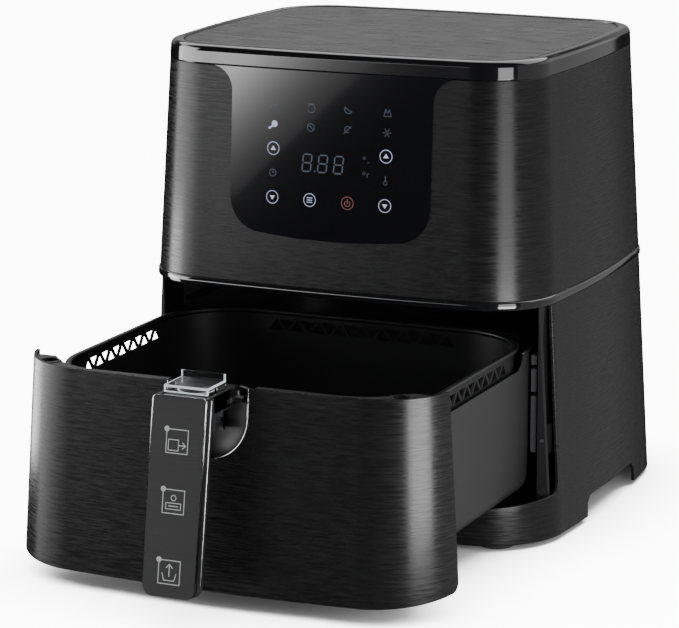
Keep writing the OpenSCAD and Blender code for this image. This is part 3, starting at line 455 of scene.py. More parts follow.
def lower_shell(n_low=5, n_high=12):
    """Rear wall up to the trim, and in front of the seam a skirt up to the cover's lower edge."""
    seam_top = sill_z(SEAM)
    zs = [lerp(SKIRT_LOW, seam_top, i / n_low) for i in range(n_low + 1)]
    zs += [lerp(seam_top, SPLIT, i / n_high) for i in range(1, n_high + 1)]
    skirt = front_path(SILL, 0, SEAM, SEAM_R)
    ends = (0, len(skirt) - 1)

    def wall(out):
        rows = [layer(rear_path(z, out), z) for z in zs]
        for i in range(n_low + 1):
            row = []
            for c, (_, y) in enumerate(skirt):
                z = zs[i] if c in ends else lerp(SKIRT_LOW, sill_z(y), i / n_low)
                row.append((*front_path(z, out, SEAM, SEAM_R)[c], z))
            rows.append(row)
        return flat(rows)

    cols = len(rear_path(SILL, 0))
    quads = grid_quads(len(zs), cols)
    quads += [quad[::-1] for quad in grid_quads(n_low + 1, len(skirt), start=len(zs) * cols)]
    lower = thick("lower_shell", wall(0), wall(-WALL), quads, SHELL, "housing", ("lower_housing",))
    bevel(cut(lower, prisms([rounded(*ARCH)], along_x, -190, 190)), 0.5)


def upper_shell(n=8):
    zs = [lerp(TRIM_TOP, BAND_LOW, i / n) for i in range(n + 1)]
    outer = flat(layer(house(z), z) for z in zs)
    inner = flat(layer(house(z, -WALL), z) for z in zs)
    quads = grid_quads(n + 1, len(house(TRIM_TOP)), closed=True)
    bevel(thick("upper_shell", outer, inner, quads, SHELL, "housing", ("upper_housing",)), 0.5)


def sill(y_end=-121, depth=13, thickness=3):
    """Shelf behind the skirt's upper edge."""
    edges = front_path(SILL, -WALL / 2, y_end) + front_path(SILL, -depth, y_end)
    thick("sill", layer(edges, SILL), layer(edges, SILL - thickness), grid_quads(2, len(edges) // 2),
          SHELL, "housing", ())


def mid_trim(proud=0.9):
    edge = ((0, -3), (0, proud - 1.0), (0.5, proud - 0.35), (1.2, proud))
    profile = [(SPLIT + z, out) for z, out in edge] + [(TRIM_TOP - z, out) for z, out in reversed(edge)]
    sweep("mid_trim_ring", profile, house, GLOSS, "housing", ("mid_trim",))


lower_shell()
upper_shell()
sill()
mid_trim()


# ---------------------------------------------------------------- lid
def lid_outline(z, out):
    return house(min(z, BAND_TOP), out, 24, 16)


def lid_ring():
    """Upright gloss band, a rounded shoulder, and an inner edge that drops beside the plate."""
    edge = ((0, -2.2), (0, -0.5), (0.25, -0.1), (0.8, 0.1), (0.95, 0.1), (1.3, 0.1))
    profile = [(BAND_LOW + z, out) for z, out in edge] + [(BAND_TOP - z, 0.1) for z in (0.9, 0.6, 0.5)]
    for k in range(1, 9):
        a = math.radians(90 * k / 8)
        profile.append((BAND_TOP - 0.5 + 4.2 * math.sin(a), 0.1 - 4.1 * (1 - math.cos(a))))
    profile += [(BODY_H - z, out) for z, out in ((0, -7.9), (0.25, -8.5), (0.9, -8.8), (4, -8.9), (4.1, -13))]
    sweep("lid_ring_gloss", profile, lid_outline, GLOSS, "housing", ("lid_ring",))


def lid_plate():
    """Plate with a rounded edge, and rings on its face that shrink towards the middle."""
    edge = ((4.0, -9.3), (1.5, -9.3), (1.05, -9.45), (0.75, -9.9), (0.6, -10.6))
    rows = [layer(house(BAND_TOP, out, 24, 16), BODY_H - z) for z, out in edge]
    rim = rows[-1]
    rows += [[(x * s, y * s, z) for x, y, z in rim] for s in (0.8, 0.55, 0.3, 0.08)]
    cols = len(rim)
    faces = grid_quads(len(rows), cols, closed=True)
    faces += [[(len(rows) - 1) * cols + c for c in range(cols)], list(reversed(range(cols)))]
    new_object("lid_plate", flat(rows), faces, TOP, "housing", ("top_plate",))


lid_ring()
lid_plate()

# ---------------------------------------------------------------- touch panel
# Half width, lower edge, its bulge, radius of the lower corners, and radius of the flare under the lid
PANEL_HALF, PANEL_LOW, PANEL_BULGE, PANEL_R, FLARE = 73.0, 199.5, 2.5, 24.0, 16.4
CORNER_LOW = PANEL_LOW + PANEL_BULGE
CORNER_TOP = CORNER_LOW + PANEL_R
FLARE_LOW = BAND_LOW - FLARE


def panel_half(z):
    """Half width of the panel at height z."""
    if z >= FLARE_LOW:
        a = (z - FLARE_LOW) / FLARE
        return PANEL_HALF + FLARE - FLARE * math.sqrt(max(0.0, 1 - a * a))
    if z >= CORNER_TOP:
        return PANEL_HALF
    if z >= CORNER_LOW:
        d = (CORNER_TOP - z) / PANEL_R
        return PANEL_HALF - PANEL_R + PANEL_R * math.sqrt(max(0.0, 1 - d * d))
    return (PANEL_HALF - PANEL_R) * math.sqrt(max(0.0, (z - PANEL_LOW) / PANEL_BULGE))


def panel_face(zs, out, n=40):
    points = []
    for z in zs:
        w = max(0.01, panel_half(z))
        points += [(x, front_y(x, z, out), z) for x in (-w + 2 * w * c / n for c in range(n + 1))]
    return points


def touch_panel():
    """Thin plate that follows the housing's front."""
    zs = [PANEL_LOW + PANEL_BULGE * (i / 8) ** 2 for i in range(9)]
    zs += [CORNER_LOW + PANEL_R * (1 - math.cos(math.radians(90 * i / 14))) for i in range(1, 15)]
    zs += [lerp(CORNER_TOP, FLARE_LOW, i / 12) for i in range(1, 13)]
    zs += [FLARE_LOW + (FLARE - 0.05) * math.sin(math.radians(90 * i / 14)) for i in range(1, 15)]
    bevel(thick("touch_panel", panel_face(zs, 0.35), panel_face(zs, -0.6), grid_quads(len(zs), 41),
                PANEL, "housing", ("control_panel",)), 0.22, 2, 50)


class Ink:
    """Flat strokes in a plane, collected as faces."""

    def __init__(self):
        self.verts, self.faces = [], []

    def poly(self, pts):
        n = len(self.verts)
        self.verts += pts
        self.faces.append(list(range(n, n + len(pts))))

    def line(self, pts, w, closed=False):
        seq = list(pts) + ([pts[0]] if closed else [])
        for (x0, y0), (x1, y1) in zip(seq, seq[1:]):
            d = math.hypot(x1 - x0, y1 - y0) or 1
            nx, ny = -(y1 - y0) / d * w / 2, (x1 - x0) / d * w / 2
            ex, ey = (x1 - x0) / d * w * 0.3, (y1 - y0) / d * w * 0.3
            self.poly([(x0 + nx - ex, y0 + ny - ey), (x0 - nx - ex, y0 - ny - ey),
                       (x1 - nx + ex, y1 - ny + ey), (x1 + nx + ex, y1 + ny + ey)])

    def ring(self, x, y, r, w, a0=0, a1=360, n=28):
        outer, inner = arc(x, y, r, a0, a1, n), arc(x, y, r - w, a0, a1, n)
        for i in range(n):
            self.poly([outer[i], outer[i + 1], inner[i + 1], inner[i]])

    def disc(self, x, y, r, n=20):
        self.poly(arc(x, y, r, 0, 360 - 360 / n, n - 1))

    def make(self, name, mapping, mat, body):
        new_object(name, [mapping(x, y) for x, y in self.verts], self.faces, mat, body, shaded=False)


def on_panel(x, z):
    return (x, front_y(x, z, 0.40), z)


def digit(ink, x, z, w=6.2, h=11.5, stroke=0.95, gap=0.9, lean=0.10):
    """Leaning seven-segment 8."""
    for x0, z0, x1, z1 in ((0, h, w, h), (w, h / 2, w, h), (w, 0, w, h / 2), (0, 0, w, 0), (0, 0, 0, h / 2),
                           (0, h / 2, 0, h), (0, h / 2, w, h / 2)):
        k = gap / math.hypot(x1 - x0, z1 - z0)
        dx, dz = (x1 - x0) * k, (z1 - z0) * k
        ink.line([(x + x0 + dx + lean * (z0 + dz), z + z0 + dz), (x + x1 - dx + lean * (z1 - dz), z + z1 - dz)],
                 stroke)


def draw_digits(ink):
    """Three digits, with a point between the first two."""
    for x in (-19.5, -8.0, 3.5):
        digit(ink, x, 245.6)
    ink.disc(-10.0, 246.0, 0.55)


def draw_marks(ink):
    """Clock and thermometer in the side columns, and degree marks beside the digits."""
    ink.ring(-41, 243.0, 2.6, 0.45)
    ink.line([(-41, 244.6), (-41, 243.0), (-39.7, 243.0)], 0.45)
    ink.ring(41, 241.6, 1.5, 0.45)
    ink.line([(41, 243.0), (41, 246.0)], 0.9)
    ink.ring(25.5, 257.2, 1.0, 0.35)
    ink.line([(28.0, 254.4), (29.2, 254.4)], 0.45)
    ink.ring(25.5, 247.2, 1.0, 0.35)
    ink.line([(28.0, 244.4), (28.0, 247.0), (29.4, 247.0)], 0.45)


def draw_programmes(ink, columns):
    """Seven of the eight food programmes in two rows, as plain generic shapes."""
    a, b, c, d = columns
    ink.line([(a - 3, 286.2), (a - 1, 289.6), (a + 0.4, 286.6), (a + 2.8, 289.4)], 0.55)
    ink.ring(b, 287.6, 2.9, 0.5, 200, 520)
    ink.line([(b - 2, 290.6), (b + 2, 290.6)], 0.55)
    ink.ring(c + 0.4, 288.8, 3.0, 0.55, 150, 330)
    ink.line([(c - 2.2, 290.3), (c + 0.2, 288.4), (c + 3.0, 287.3)], 0.5)
    ink.line([(d - 2.6, 285.8), (d - 1.2, 290.6), (d, 287.6), (d + 1.3, 290.4), (d + 2.6, 285.8)], 0.5, True)
    ink.ring(b, 275.0, 2.8, 0.5)
    ink.line([(b - 1.4, 276.4), (b + 1.6, 273.8)], 0.5)
    ink.ring(c, 275.4, 2.3, 0.5, 20, 300)
    ink.line([(c - 2.6, 272.6), (c + 2.6, 277.6)], 0.5)
    for angle in range(0, 360, 60):
        ink.line([polar(d, 275, 0.7, angle), polar(d, 275, 3.0, angle)], 0.5)


def draw_keys(ink):
    """Round keys: up and down arrows, and the menu."""
    for x, z, up in ((-41, 259.3, 1), (41, 259.3, 1), (-41, 226.5, -1), (41, 226.5, -1)):
        ink.ring(x, z, 4.5, 0.42)
        ink.poly([(x - 2.0, z - 1.1 * up), (x + 2.0, z - 1.1 * up), (x, z + 1.9 * up)])
    ink.ring(-13.3, 226.5, 4.5, 0.42)
    for i in (-1, 0, 1):
        ink.line([(-15.2, 226.5 + 1.5 * i), (-11.4, 226.5 + 1.5 * i)], 0.55)


def draw_lit(ink, x):
    """The programme that is on."""
    ink.disc(x + 0.6, 275.8, 2.2)
    ink.line([(x - 3.0, 272.6), (x - 0.6, 274.8)], 1.1)
    ink.disc(x - 3.2, 272.9, 0.7)


def draw_power(ink):
    ink.ring(14.2, 226.4, 4.4, 0.32)
    ink.ring(14.2, 226.2, 2.1, 0.36, 130, 410)
    ink.line([(14.2, 226.4), (14.2, 229.0)], 0.5)


def panel_print():
    columns = (-41.0, -13.5, 13.1, 41.3)
    dim, keys, lit, red = Ink(), Ink(), Ink(), Ink()
    draw_digits(dim)
    draw_marks(dim)
    draw_programmes(dim, columns)
    draw_keys(keys)
    draw_lit(lit, columns[0])
    draw_power(red)
    dim.make("panel_icons", on_panel, ICON, "housing")
    keys.make("panel_keys", on_panel, ICON_LIT, "housing")
    lit.make("panel_icon_lit", on_panel, ICON_LIT, "housing")
    red.make("panel_power", on_panel, ICON_RED, "housing")


touch_panel()
panel_print()

# ---------------------------------------------------------------- drawer's cover
# Finger recess: radius, lowest point, and depth of its back wall
BOWL_R, BOWL_LOW, BOWL_BACK = 28.0, 95.4, -302.3
BOWL_MID = BOWL_LOW + BOWL_R
COVER_TOP = SPLIT - GAP


def cover_face(out, n=16):
    """Rows of the cover, from its sloping lower edge up to the trim."""
    edge = front_path(SILL, 0, SEAM - GAP, SEAM_R - GAP)
    rows = []
    for i in range(n + 1):
        zs = [lerp(sill_z(y, GAP), COVER_TOP, i / n) for _, y in edge]
        rows.append([(*front_path(z, out, SEAM - GAP, SEAM_R - GAP)[c], z) for c, z in enumerate(zs)])
    return rows


def drawer_front():
    outer, inner = cover_face(0), cover_face(-WALL)
    cover = thick("drawer_front", flat(outer), flat(inner), grid_quads(len(outer), len(outer[0])),
                  SHELL, "drawer", ("front_cover",), opened=True)
    r = BOWL_R + 0.2
    hole = [(r, 170)] + arc(0, BOWL_MID, r, 0, -180, 36) + [(-r, 170)]
    bevel(cut(cover, prisms([hole], along_y, -330, -295)), 0.5)


def recess_front(x, z):
    """Depth of the opened cover's face."""
    return front_y(x, z + DROP) - OUT


def bowl_y(x, z):
    """Depth of the bowl: just behind the cover's face at its rim, and BOWL_BACK in its middle."""
    rho = min(1.0, math.hypot(x, min(0.0, z - BOWL_MID)) / BOWL_R)
    return lerp(recess_front(x, z) + 0.5, BOWL_BACK, (1 - rho ** 2.6) ** 0.7)


def finger_recess(n=36, n_round=24):
    """Bowl behind the cover, round below and upright above, with a gap for the handle's bracket."""
    outer = []
    for k in range(n + 1):
        if k <= n_round:
            a = math.radians(90 * k / n_round)
            z, half = BOWL_MID - BOWL_R * math.cos(a), max(1.2, BOWL_R * math.sin(a))
        else:
            z, half = lerp(BOWL_MID, COVER_TOP - DROP, (k - n_round) / (n - n_round)), BOWL_R
        outer += [(x, bowl_y(x, z), z) for x in (-half * math.cos(math.pi * i / n) for i in range(n + 1))]
    inner = [(x, y + 0.8, z) for x, y, z in outer]
    bowl = thick("finger_recess", outer, inner, grid_quads(n + 1, n + 1),
                 BOWL, "drawer", ("grip_recess",))
    cut(bowl, prisms([[(-25, 132.5), (25, 132.5), (25, 175), (-25, 175)]], along_y, -304.5, -290))


def recess_rim():
    """Fine bright line round the recess, from its outer radius to an inner one."""
    r = BOWL_R + 0.1
    k = (BOWL_R - 0.7) / r
    top = COVER_TOP - DROP
    line = [(r, top)] + arc(0, BOWL_MID, r, 0, -180, 44) + [(-r, top)]
    verts = []
    for x, z in line:
        y = recess_front(x, z)
        xi, zi = x * k, (BOWL_MID + (z - BOWL_MID) * k if z < BOWL_MID else z)
        verts += [(x, y + 0.02, z), (x, y - 0.12, z), (xi, y - 0.12, zi), (xi, y + 1.2, zi)]
    new_object("recess_rim", verts, grid_quads(len(line), 4), CHROME, "drawer")


drawer_front()
finger_recess()
recess_rim()

# ---------------------------------------------------------------- pan
PAN_HALF, PAN_FRONT, PAN_REAR, PAN_R = 131.47, -300.99, -56.0, 48.0
# Floor, edge along the sides, edge at the front and rear
PAN_LOW, PAN_SIDE, PAN_TOP = 33.5, 120.0, 131.5
# Height from which the pan's wall is upright
PAN_STRAIGHT = PAN_LOW + 24


def tub(half, front, rear, r, inset, n_arc, n_side):
    """Rounded rectangle between front and rear, moved inward by inset."""
    mid, deep = (front + rear) / 2, (rear - front) / 2
    return [(x, y + mid) for x, y in loop(half - inset, deep - inset, r - inset, 0, n_arc, n_side)]


def pan_ring(inset):
    return tub(PAN_HALF, PAN_FRONT, PAN_REAR, PAN_R, inset, 18, 30)


def pan_top_at(y):
    """Height of the pan's edge: high at the front, lower along the sides, high again at the rear."""
    if y < PAN_FRONT + 4:
        return PAN_TOP
    if y > PAN_REAR - 56:
        return lerp(PAN_SIDE, PAN_TOP, ease((y - (PAN_REAR - 56)) / 9))
    return lerp(PAN_SIDE, PAN_TOP, ease((PAN_FRONT + 13 - y) / 9))


def pan_surface(more):
    """Rows of the pan's wall, moved inward by more."""
    profile = [(PAN_LOW + more, 24)]
    for k in range(9):
        a = math.radians(90 * k / 8)
        profile.append((PAN_LOW + more + (9 - more) * (1 - math.cos(a)), 9.6 - (9.6 - 0.9 - more) * math.sin(a)))
    profile += [(PAN_LOW + 16, 0.55 + more), (PAN_STRAIGHT, 0.4 + more)]
    rows = [layer(pan_ring(inset), z) for z, inset in profile]
    for k in range(1, 11):
        rows.append([(x, y, lerp(PAN_STRAIGHT, pan_top_at(y), k / 10)) for x, y in pan_ring(more)])
    return rows


def pan_shell():
    outer, inner = pan_surface(0.0), pan_surface(1.2)
    cols = len(outer[0])
    quads = grid_quads(len(outer), cols, closed=True) + [list(reversed(range(cols)))]
    bevel(thick("pan_shell", flat(outer), flat(inner), quads, PAN, "drawer", ("pan",)), 0.35, 2, 50)


pan_shell()

# ---------------------------------------------------------------- basket
BASKET_HALF, BASKET_FRONT, BASKET_REAR, BASKET_R = 129.77, -295.5, -71.0, PAN_R + 6
BASKET_LOW, BASKET_TOP = 46.0, 135.3
BASKET_MID, BASKET_DEEP = (BASKET_FRONT + BASKET_REAR) / 2, (BASKET_REAR - BASKET_FRONT) / 2
# Triangular vents: distance between two upright ones, width, height, and height of their lower edge
PITCH, VENT_W, VENT_H, VENT_LOW = 16.0, 11.0, 7.5, 121.5


def basket_ring(inset, n_arc=18, n_side=24):
    return tub(BASKET_HALF, BASKET_FRONT, BASKET_REAR, BASKET_R, inset, n_arc, n_side)


def basket_face(more):
    """Rows of the basket's wall, moved inward by more."""
    profile = [(BASKET_LOW + more, 20)]
    for k in range(8):
        a = math.radians(90 * k / 7)
        profile.append((BASKET_LOW + more + (10 - more) * (1 - math.cos(a)), 11 - (7 - more) * math.sin(a)))
    profile += [(lerp(BASKET_LOW + 10, PAN_SIDE - 4, t), lerp(4, 1.6, t) + more) for t in (0.33, 0.66, 1)]
    profile += [(BASKET_TOP - z, inset + more) for z, inset in ((5.5, 1.4), (2.6, 1.3), (1.6, 1.3))]
    return [layer(basket_ring(inset), z) for z, inset in profile]


def vents(length, mid=0.0):
    """Row of upright and inverted triangles."""
    n = int(length / PITCH / 2)
    low, high, half = VENT_LOW, VENT_LOW + VENT_H, VENT_W / 2
    row = []
    for i in range(-n, n + 1):
        u = i * PITCH
        row.append([(u - half, low), (u + half, low), (u, high)])
        if i < n:
            u += PITCH / 2
            row.append([(u - half, high), (u, low), (u + half, high)])
    return [[(mid + p, q) for p, q in triangle] for triangle in row]


def basket_shell():
    outer, inner = basket_face(0), basket_face(1.5)
    basket = thick("basket_shell", flat(outer), flat(inner), grid_quads(len(outer), len(outer[0]), closed=True),
                   BASKET, "basket", ("basket",))
    side = vents(2 * (BASKET_DEEP - BASKET_R), BASKET_MID)
    rear = vents(2 * (BASKET_HALF - BASKET_R))
    cut(basket, prisms(side, along_x, BASKET_HALF - 8, BASKET_HALF + 2),
        prisms(side, along_x, -BASKET_HALF - 2, -BASKET_HALF + 8),
        prisms(rear, along_y, BASKET_REAR - 9, BASKET_REAR + 1))
    bevel(basket, 0.25, 2, 40)


def basket_bead():
    """Rounded bead along the basket's edge."""
    edge = ((3.3, -2.9), (3.3, -0.5), (2.6, 1.2), (2.1, 1.55), (1.2, 1.55), (0.55, 1.25),
            (0.1, 0.6), (0, -0.1), (0, -1.5), (0.25, -2.3), (0.9, -2.85), (1.6, -2.9))
    sweep("basket_bead", [(BASKET_TOP - z, out) for z, out in edge], lambda _, out: basket_ring(-out, 22, 12),
          BASKET, "basket")


def pan_lip():
    """Lip along the pan's rear edge, closed at both ends."""
    path = pan_ring(0)
    behind = [i for i, (_, y) in enumerate(path) if y > PAN_REAR - 57]
    start = next(i for i in behind if (i - 1) % len(path) not in behind)
    order = [(start + k) % len(path) for k in range(len(behind))]
    rows = []
    for z, out in ((2.4, -0.6), (2.3, 0.3), (1.6, 1.25), (0.4, 1.35), (0, 1.0), (0, -0.9)):
        line = pan_ring(-out)
        rows.append([(*line[i], PAN_TOP - z) for i in order])
    n, cols = len(rows), len(order)
    faces = []
    for r in range(n):
        low, high = r * cols, (r + 1) % n * cols
        faces += [[low + c, low + c + 1, high + c + 1, high + c] for c in range(cols - 1)]
    faces += [[r * cols for r in range(n)], [r * cols + cols - 1 for r in reversed(range(n))]]
    new_object("pan_lip", flat(rows), faces, BASKET, "drawer")


basket_shell()
basket_bead()
pan_lip()

# ---------------------------------------------------------------- handle
# Top edge of the grip's face, and its lean
GRIP_Y, GRIP_TOP, GRIP_LEAN = -349.0, 144.0, math.radians(9.2)
# Half width and lower end of the trim's outer and inner line
TRIM_OUTER, TRIM_INNER, TRIM_END = 18.55, 17.85, 116.0
# Left edge and size of the drawings on the face
GLYPH_X, GLYPH_SIZE = -7.4, 14.6


def on_grip(x, down, behind):
    """Point on the grip: x across, down from its top edge, behind its face."""
    c, s = math.cos(GRIP_LEAN), math.sin(GRIP_LEAN)
    return (x, GRIP_Y + behind * c - down * s, GRIP_TOP - behind * s - down * c)


def grip_outline(half, top, low, r_top, r_low):
    """Rounded rectangle as (across, down), from the middle of the top to the right and round."""
    points = []
    for degrees in range(0, 91, 15):
        a = math.radians(degrees)
        points.append((half - r_top + r_top * math.sin(a), top + r_top - r_top * math.cos(a)))
    points += arc(half - r_low, low - r_low, r_low, 0, 90, 9)
    return points + [(-x, down) for x, down in reversed(points)]


def handle_front():
    points = grip_outline(17.75, 0.7, 124.0, 2.4, 6.6)
    n = len(points)
    verts = [on_grip(x, down, behind) for behind in (0.1, 1.8) for x, down in points]
    faces = [list(range(n)), list(range(2 * n - 1, n - 1, -1))]
    faces += [[i, (i + 1) % n, (i + 1) % n + n, i + n] for i in range(n)]
    bevel(new_object("handle_front", verts, faces, GRIP, "basket", ("handle_face",)), 0.15, 2, 40)


def handle_outline():
    """Bright trim round the face, open at its foot."""
    outer = grip_outline(TRIM_OUTER, 0.1, 124.6, 3.2, 7.4)
    inner = grip_outline(TRIM_INNER, 0.7, 123.8, 2.5, 6.7)
    pairs = [(*a, *b) for a, b in zip(outer, inner) if a[1] < 118]
    path = [(-TRIM_OUTER, TRIM_END, -TRIM_INNER, TRIM_END)] + [p for p in pairs if p[0] < 0]
    path += [p for p in pairs if p[0] > 0] + [(TRIM_OUTER, TRIM_END, TRIM_INNER, TRIM_END)]
    verts = []
    for xa, la, xb, lb in path:
        verts += [on_grip(xb, lb, 0.35), on_grip(xb, lb, 0.0), on_grip(xa * 0.995, la, 0.0),
                  on_grip(xa, la, 0.25), on_grip(xa, la, 1.7)]
    new_object("handle_outline", verts, grid_quads(len(path), 5), CHROME, "basket", ("handle_trim",))


def handle_edge_highlight():
    """Painted highlight: a fine bright strip down both sides of the grip, standing in for the light on the core's
    rear edges.
    """
    verts, faces = [], []
    for sx, _ in SIDES:
        faces += grid_quads(2, 4, start=len(verts))
        for down in (2.0, TRIM_END):
            verts += [on_grip(sx * x, down, behind) for x, behind in
                      ((18.0, 7.3), (18.16, 7.4), (18.16, 7.8), (18.0, 7.9))]
    new_object("handle_edge_highlight", verts, faces, CHROME, "basket")


def framed(ink, top):
    """Frame of a drawing, with a dot at its corner."""
    x0, x1, low = GLYPH_X, GLYPH_X + GLYPH_SIZE, top + GLYPH_SIZE
    ink.line([(x0, top), (x1, top), (x1, low), (x0, low)], 0.55, True)
    ink.disc(x0, top, 1.75)


def handle_glyphs():
    """Three plain line drawings on the face."""
    ink, x = Ink(), GLYPH_X
    framed(ink, 20.6)
    ink.line([(x + 1.5, 27.0), (x + 8.4, 27.0), (x + 8.4, 33.6), (x + 1.5, 33.6)], 0.5, True)
    ink.line([(x + 8.4, 30.3), (x + 13.0, 30.3)], 0.6)
    ink.line([(x + 11.2, 28.4), (x + 13.2, 30.3), (x + 11.2, 32.2)], 0.6)
    framed(ink, 57.6)
    ink.line([(x + 2.2, 65.8), (x + 12.4, 65.8), (x + 12.4, 69.6), (x + 2.2, 69.6)], 0.5, True)
    ink.ring(x + 7.3, 62.6, 1.9, 0.5)
    ink.line([(x + 4.2, 67.7), (x + 10.4, 67.7)], 0.6)
    framed(ink, 101.0)
    ink.line([(x + 2.6, 109.0), (x + 3.8, 113.4), (x + 10.8, 113.4), (x + 12.0, 109.0)], 0.55)
    ink.line([(x + 7.3, 110.8), (x + 7.3, 103.6)], 0.6)
    ink.line([(x + 5.2, 105.6), (x + 7.3, 103.4), (x + 9.4, 105.6)], 0.6)
    ink.make("handle_glyphs", lambda x, down: on_grip(x, down, 0.06), PRINT, "basket")


handle_front()
handle_outline()
handle_edge_highlight()
handle_glyphs()


# ---------------------------------------------------------------- feet
def feet(x_mid=118, y_mid=117.5, n=36):
    """Four round feet in one piece."""
    rings = ((5.2, 10.6), (1.2, 11.6), (0.3, 11.3), (0.0, 10.2))
    verts, faces = [], []
    for sx, sy in QUARTERS:
        start = len(verts)
        last = start + (len(rings) - 1) * n
        for z, r in rings:
            verts += [(sx * x_mid + x, sy * y_mid + y, z) for x, y in arc(0, 0, r, 0, 360 * (n - 1) / n, n - 1)]
        faces += grid_quads(len(rings), n, closed=True, start=start)
        faces += [[start + i for i in range(n)], [last + i for i in reversed(range(n))]]
    new_object("feet", verts, faces, RUBBER, "housing", ("rubber_feet",))


feet()

# ---------------------------------------------------------------- arm, guard and button
# Clear guard over the release button: limits, half width, and thickness of the glowing strips on its edges, a painted
# highlight
GUARD_TOP, GUARD_REAR, GUARD_FRONT, GUARD_HALF, EDGE = 148.0, -316.0, -341.0, 15.0, 0.55
# Upper side of the handle's arm, and half width and heights of the plates on it
ARM_TOP, ARM_HALF, PLATE_LOW, PLATE_TOP = 143.0, 17.6, 131.4, 142.7


def side_block(name, sx, near, far, low, high, mat, body, slot=None, width=0.25):
    """Block on side sx, between two distances from the middle."""
    x0, x1 = sorted((sx * near, sx * far))
    block(name, (x0, *low), (x1, *high), mat, body, slot, width)


def arm():
    block("arm_cover", (-ARM_HALF, -314.6, PLATE_LOW), (ARM_HALF, -304.0, PLATE_TOP), GRIP, "basket", width=0.8)
    for sx, side in SIDES:
        side_block("arm_side_" + side, sx, ARM_HALF, 16.2, (-338.0, PLATE_LOW), (-314.4, PLATE_TOP),
                   GRIP, "basket", width=0.4)


def guard():
    """Strips on the clear guard's edges, with a painted glow that stands in for the light caught by the clear
    plastic's edges.
    """
    look = (GLINT, "guard", "clear_plastic", 0.12)
    front, back = GUARD_FRONT, GUARD_FRONT + EDGE
    for name, low, high in (("front", GUARD_TOP - 1.4, GUARD_TOP), ("low", ARM_TOP + 0.4, ARM_TOP + 1.2)):
        block("guard_glow_edge_" + name, (-GUARD_HALF, front, low), (GUARD_HALF, back, high), *look)
    for sx, side in SIDES:
        side_block("guard_glow_edge_" + side, sx, GUARD_HALF, GUARD_HALF - EDGE,
                   (back, GUARD_TOP - 1.2), (GUARD_REAR, GUARD_TOP), *look)
        side_block("guard_glow_post_" + side, sx, GUARD_HALF, GUARD_HALF - 0.9,
                   (front, ARM_TOP + 1.2), (front + 0.9, GUARD_TOP - 1.4), *look)
        side_block("guard_glow_flap_" + side, sx, GUARD_HALF, GUARD_HALF - 0.9,
                   (GUARD_REAR - 1.2, GUARD_TOP), (GUARD_REAR - 0.3, GUARD_TOP + 3.9), *look)


def button_ring_glow():
    """Rings on and round the release button, white with a painted glow, though they are no lamp."""
    ink = Ink()
    for r, w in ((12.0, 0.9), (10.9, 0.3), (6.6, 0.45), (2.2, 0.5)):
        ink.ring(0, -326, r, w, n=48)
    ink.make("button_ring_glow", lambda x, y: (x, y, ARM_TOP + 0.08), GLINT, "basket")


def guide_steps():
    """Stepped guide strips beside the pan."""
    for sx, side in SIDES:
        for k, (low, high) in enumerate(((60, 99), (101.5, 117.5), (120, 127))):
            side_block(f"guide_step_{side}_{k}", sx, 132.5, 136.8, (-95, low), (-84, high),
                       BUTTON, "housing", width=0.6)


arm()
guard()
button_ring_glow()
guide_steps()

# ---------------------------------------------------------------- CAD pieces that stay in view
for name in ("handle_core", "handle_bracket", "button_guard", "release_button", "cover_frame", "opening_frame",
             "side_guides", "floor_rails"):
    bevel(nodes[name], 0.4, 2, 35)


# ---------------------------------------------------------------- floor
def floor(size=9, glow=11.0):
    """White floor. It glows for the camera but for a contact shadow, and reflections see through it."""
    me = bpy.data.meshes.new("floor")
    me.from_pydata([(size * sx, size * sy, 0) for sx, sy in ((-1, -1), (1, -1), (1, 1), (-1, 1))], [],
                   [[0, 1, 2, 3]])
    ob = bpy.data.objects.new("floor", me)
    bpy.context.scene.collection.objects.link(ob)
    white = material("floor_white", (0.86, 0.86, 0.86), 0.7, spec=0.1)
    tree = white.node_tree
    surface = next(n for n in tree.nodes if n.type == "BSDF_PRINCIPLED").outputs[0]
    target = next(n for n in tree.nodes if n.type == "OUTPUT_MATERIAL").inputs[0]
    ray = node(tree, "LightPath").outputs
    near = node(tree, "AmbientOcclusion", {"Distance": 0.075}, samples=32).outputs["AO"]
    fade = node(tree, "MapRange", {"Value": near, "From Min": 0.30, "From Max": 0.97, "To Max": glow}).outputs[0]
    light = node(tree, "Emission", {"Strength": fade}).outputs[0]
    both = node(tree, "AddShader", {0: surface, 1: light}).outputs[0]
    seen = node(tree, "MixShader", {0: ray["Is Camera Ray"], 1: surface, 2: both}).outputs[0]
    clear = node(tree, "BsdfTransparent").outputs[0]
    final = node(tree, "MixShader", {0: ray["Is Glossy Ray"], 1: seen, 2: clear}).outputs[0]
    tree.links.new(final, target)
    me.materials.append(white)


floor()

# ---------------------------------------------------------------- world
# Even white light, with softboxes that only reflections see
world = bpy.data.worlds.new("studio")
bpy.context.scene.world = world
world.use_nodes = True
world.cycles.sampling_method = "NONE"
SKY = world.node_tree
SKY.nodes.clear()


def math_node(operation, a, b=0.0):
    return node(SKY, "Math", {0: a, 1: b}, operation=operation).outputs[0]


def along(source, direction):
    return node(SKY, "VectorMath", {0: source, 1: direction}, operation="DOT_PRODUCT").outputs["Value"]


def step(value, low, high):
    """Smooth step from 0 at low to 1 at high."""
    return node(SKY, "MapRange", {"Value": value, "From Min": low, "From Max": high},
                interpolation_type="SMOOTHSTEP").outputs[0]


def inverse(value):
    return math_node("SUBTRACT", 1.0, value)


def combine(operation, *values):
    out = values[0]
    for value in values[1:]:
        out = math_node(operation, out, value)
    return out


view = node(SKY, "TexCoord").outputs["Generated"]
level = node(SKY, "VectorMath", {0: view, 1: (1, 1, 0)}, operation="MULTIPLY").outputs[0]
level = node(SKY, "VectorMath", {0: level}, operation="NORMALIZE").outputs[0]
height = along(view, (0, 0, 1))
rearward = along(view, (0, 1, 0))


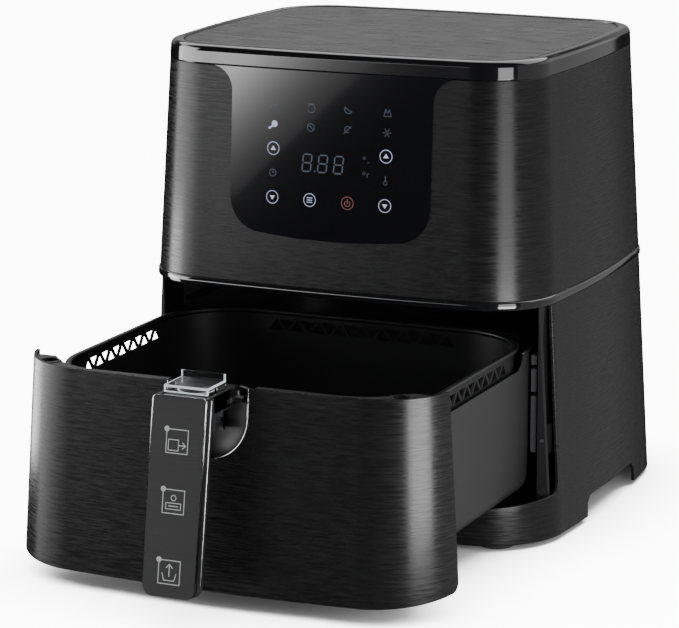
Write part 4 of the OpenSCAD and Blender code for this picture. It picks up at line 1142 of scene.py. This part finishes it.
def past(azimuth, soft):
    """1 on the right of an azimuth (0 is the front, 90 the right side), 0 on its left."""
    return step(along(level, (*polar(0, 0, 1, azimuth), 0)), -soft, soft)


def below(low, high):
    return inverse(step(height, low, high))


def left_box():
    """Softbox with a slanted lower edge, brighter upward and to the far left."""
    slant = along(view, (-0.23696, 0.05787, 0.96979))
    growth = math_node("EXPONENT", math_node("MULTIPLY", slant, 76.0))
    strength = math_node("MINIMUM", math_node("MULTIPLY", growth, 0.35), 7.5)
    upper = combine("MULTIPLY", inverse(past(-47, 0.08)), below(0.4, 0.6))
    reach = math_node("MAXIMUM", below(0.03, 0.06), upper)
    return combine("MULTIPLY", step(slant, -0.0008, 0.0014), past(-92, 0.015), inverse(past(8, 0.1)), strength, reach)


def right_box():
    """Wide dim card."""
    return combine("MULTIPLY", past(71, 0.03), inverse(past(166, 0.02)), below(0.3, 0.5), 0.42)


def back_box():
    """High softbox behind."""
    return combine("MULTIPLY", step(height, 0.42, 0.5), step(rearward, 0.0, 0.1), 3.0)


def low_wash():
    return combine("MULTIPLY", step(rearward, 0.2, 0.7), below(0.25, 0.45), step(height, 0.0, 0.05), 0.35)


total = combine("ADD", left_box(), right_box(), back_box(), low_wash(), 0.02)
boxes = node(SKY, "Background", {"Strength": total}).outputs[0]
even = node(SKY, "Background", {"Strength": 1.0}).outputs[0]
glossy = node(SKY, "LightPath").outputs["Is Glossy Ray"]
node(SKY, "OutputWorld", {0: node(SKY, "MixShader", {0: glossy, 1: even, 2: boxes}).outputs[0]})


# ---------------------------------------------------------------- lamps and camera
def lamp(name, where, look, w, h, power):
    """Area lamp at one point of the housing's frame, turned towards another."""
    data = bpy.data.lights.new(name, "AREA")
    data.shape = "RECTANGLE"
    data.size, data.size_y, data.energy = w, h, power
    ob = bpy.data.objects.new(name, data)
    ob.location = place(where)
    ob.rotation_euler = (place(look) - place(where)).to_track_quat("-Z", "Y").to_euler()
    ob.visible_camera = False
    bpy.context.scene.collection.objects.link(ob)


def camera():
    """Camera solved from the housing's edges in the photograph."""
    data = bpy.data.cameras.new("camera")
    data.lens, data.sensor_width = 167.49, 36
    data.shift_x, data.shift_y = -0.01878, -0.0841
    data.clip_end = 50
    ob = bpy.data.objects.new("camera", data)
    ob.location = (0.8473, -2.0136 + ROW * MM, 0.6156)
    ob.rotation_euler = (math.radians(90 - 11.67), 0, math.radians(23.76))
    bpy.context.scene.collection.objects.link(ob)
    bpy.context.scene.camera = ob


lamp("strip_low", (410, -362, 66), (137, -200, 66), 0.19, 0.13, 1.15)
lamp("strip_high", (410, -362, 238), (137, -200, 238), 0.19, 0.214, 0.50)
lamp("rim_left", (-400, -200, 96), (-150, -290, 96), 0.15, 0.17, 0.62)
camera()
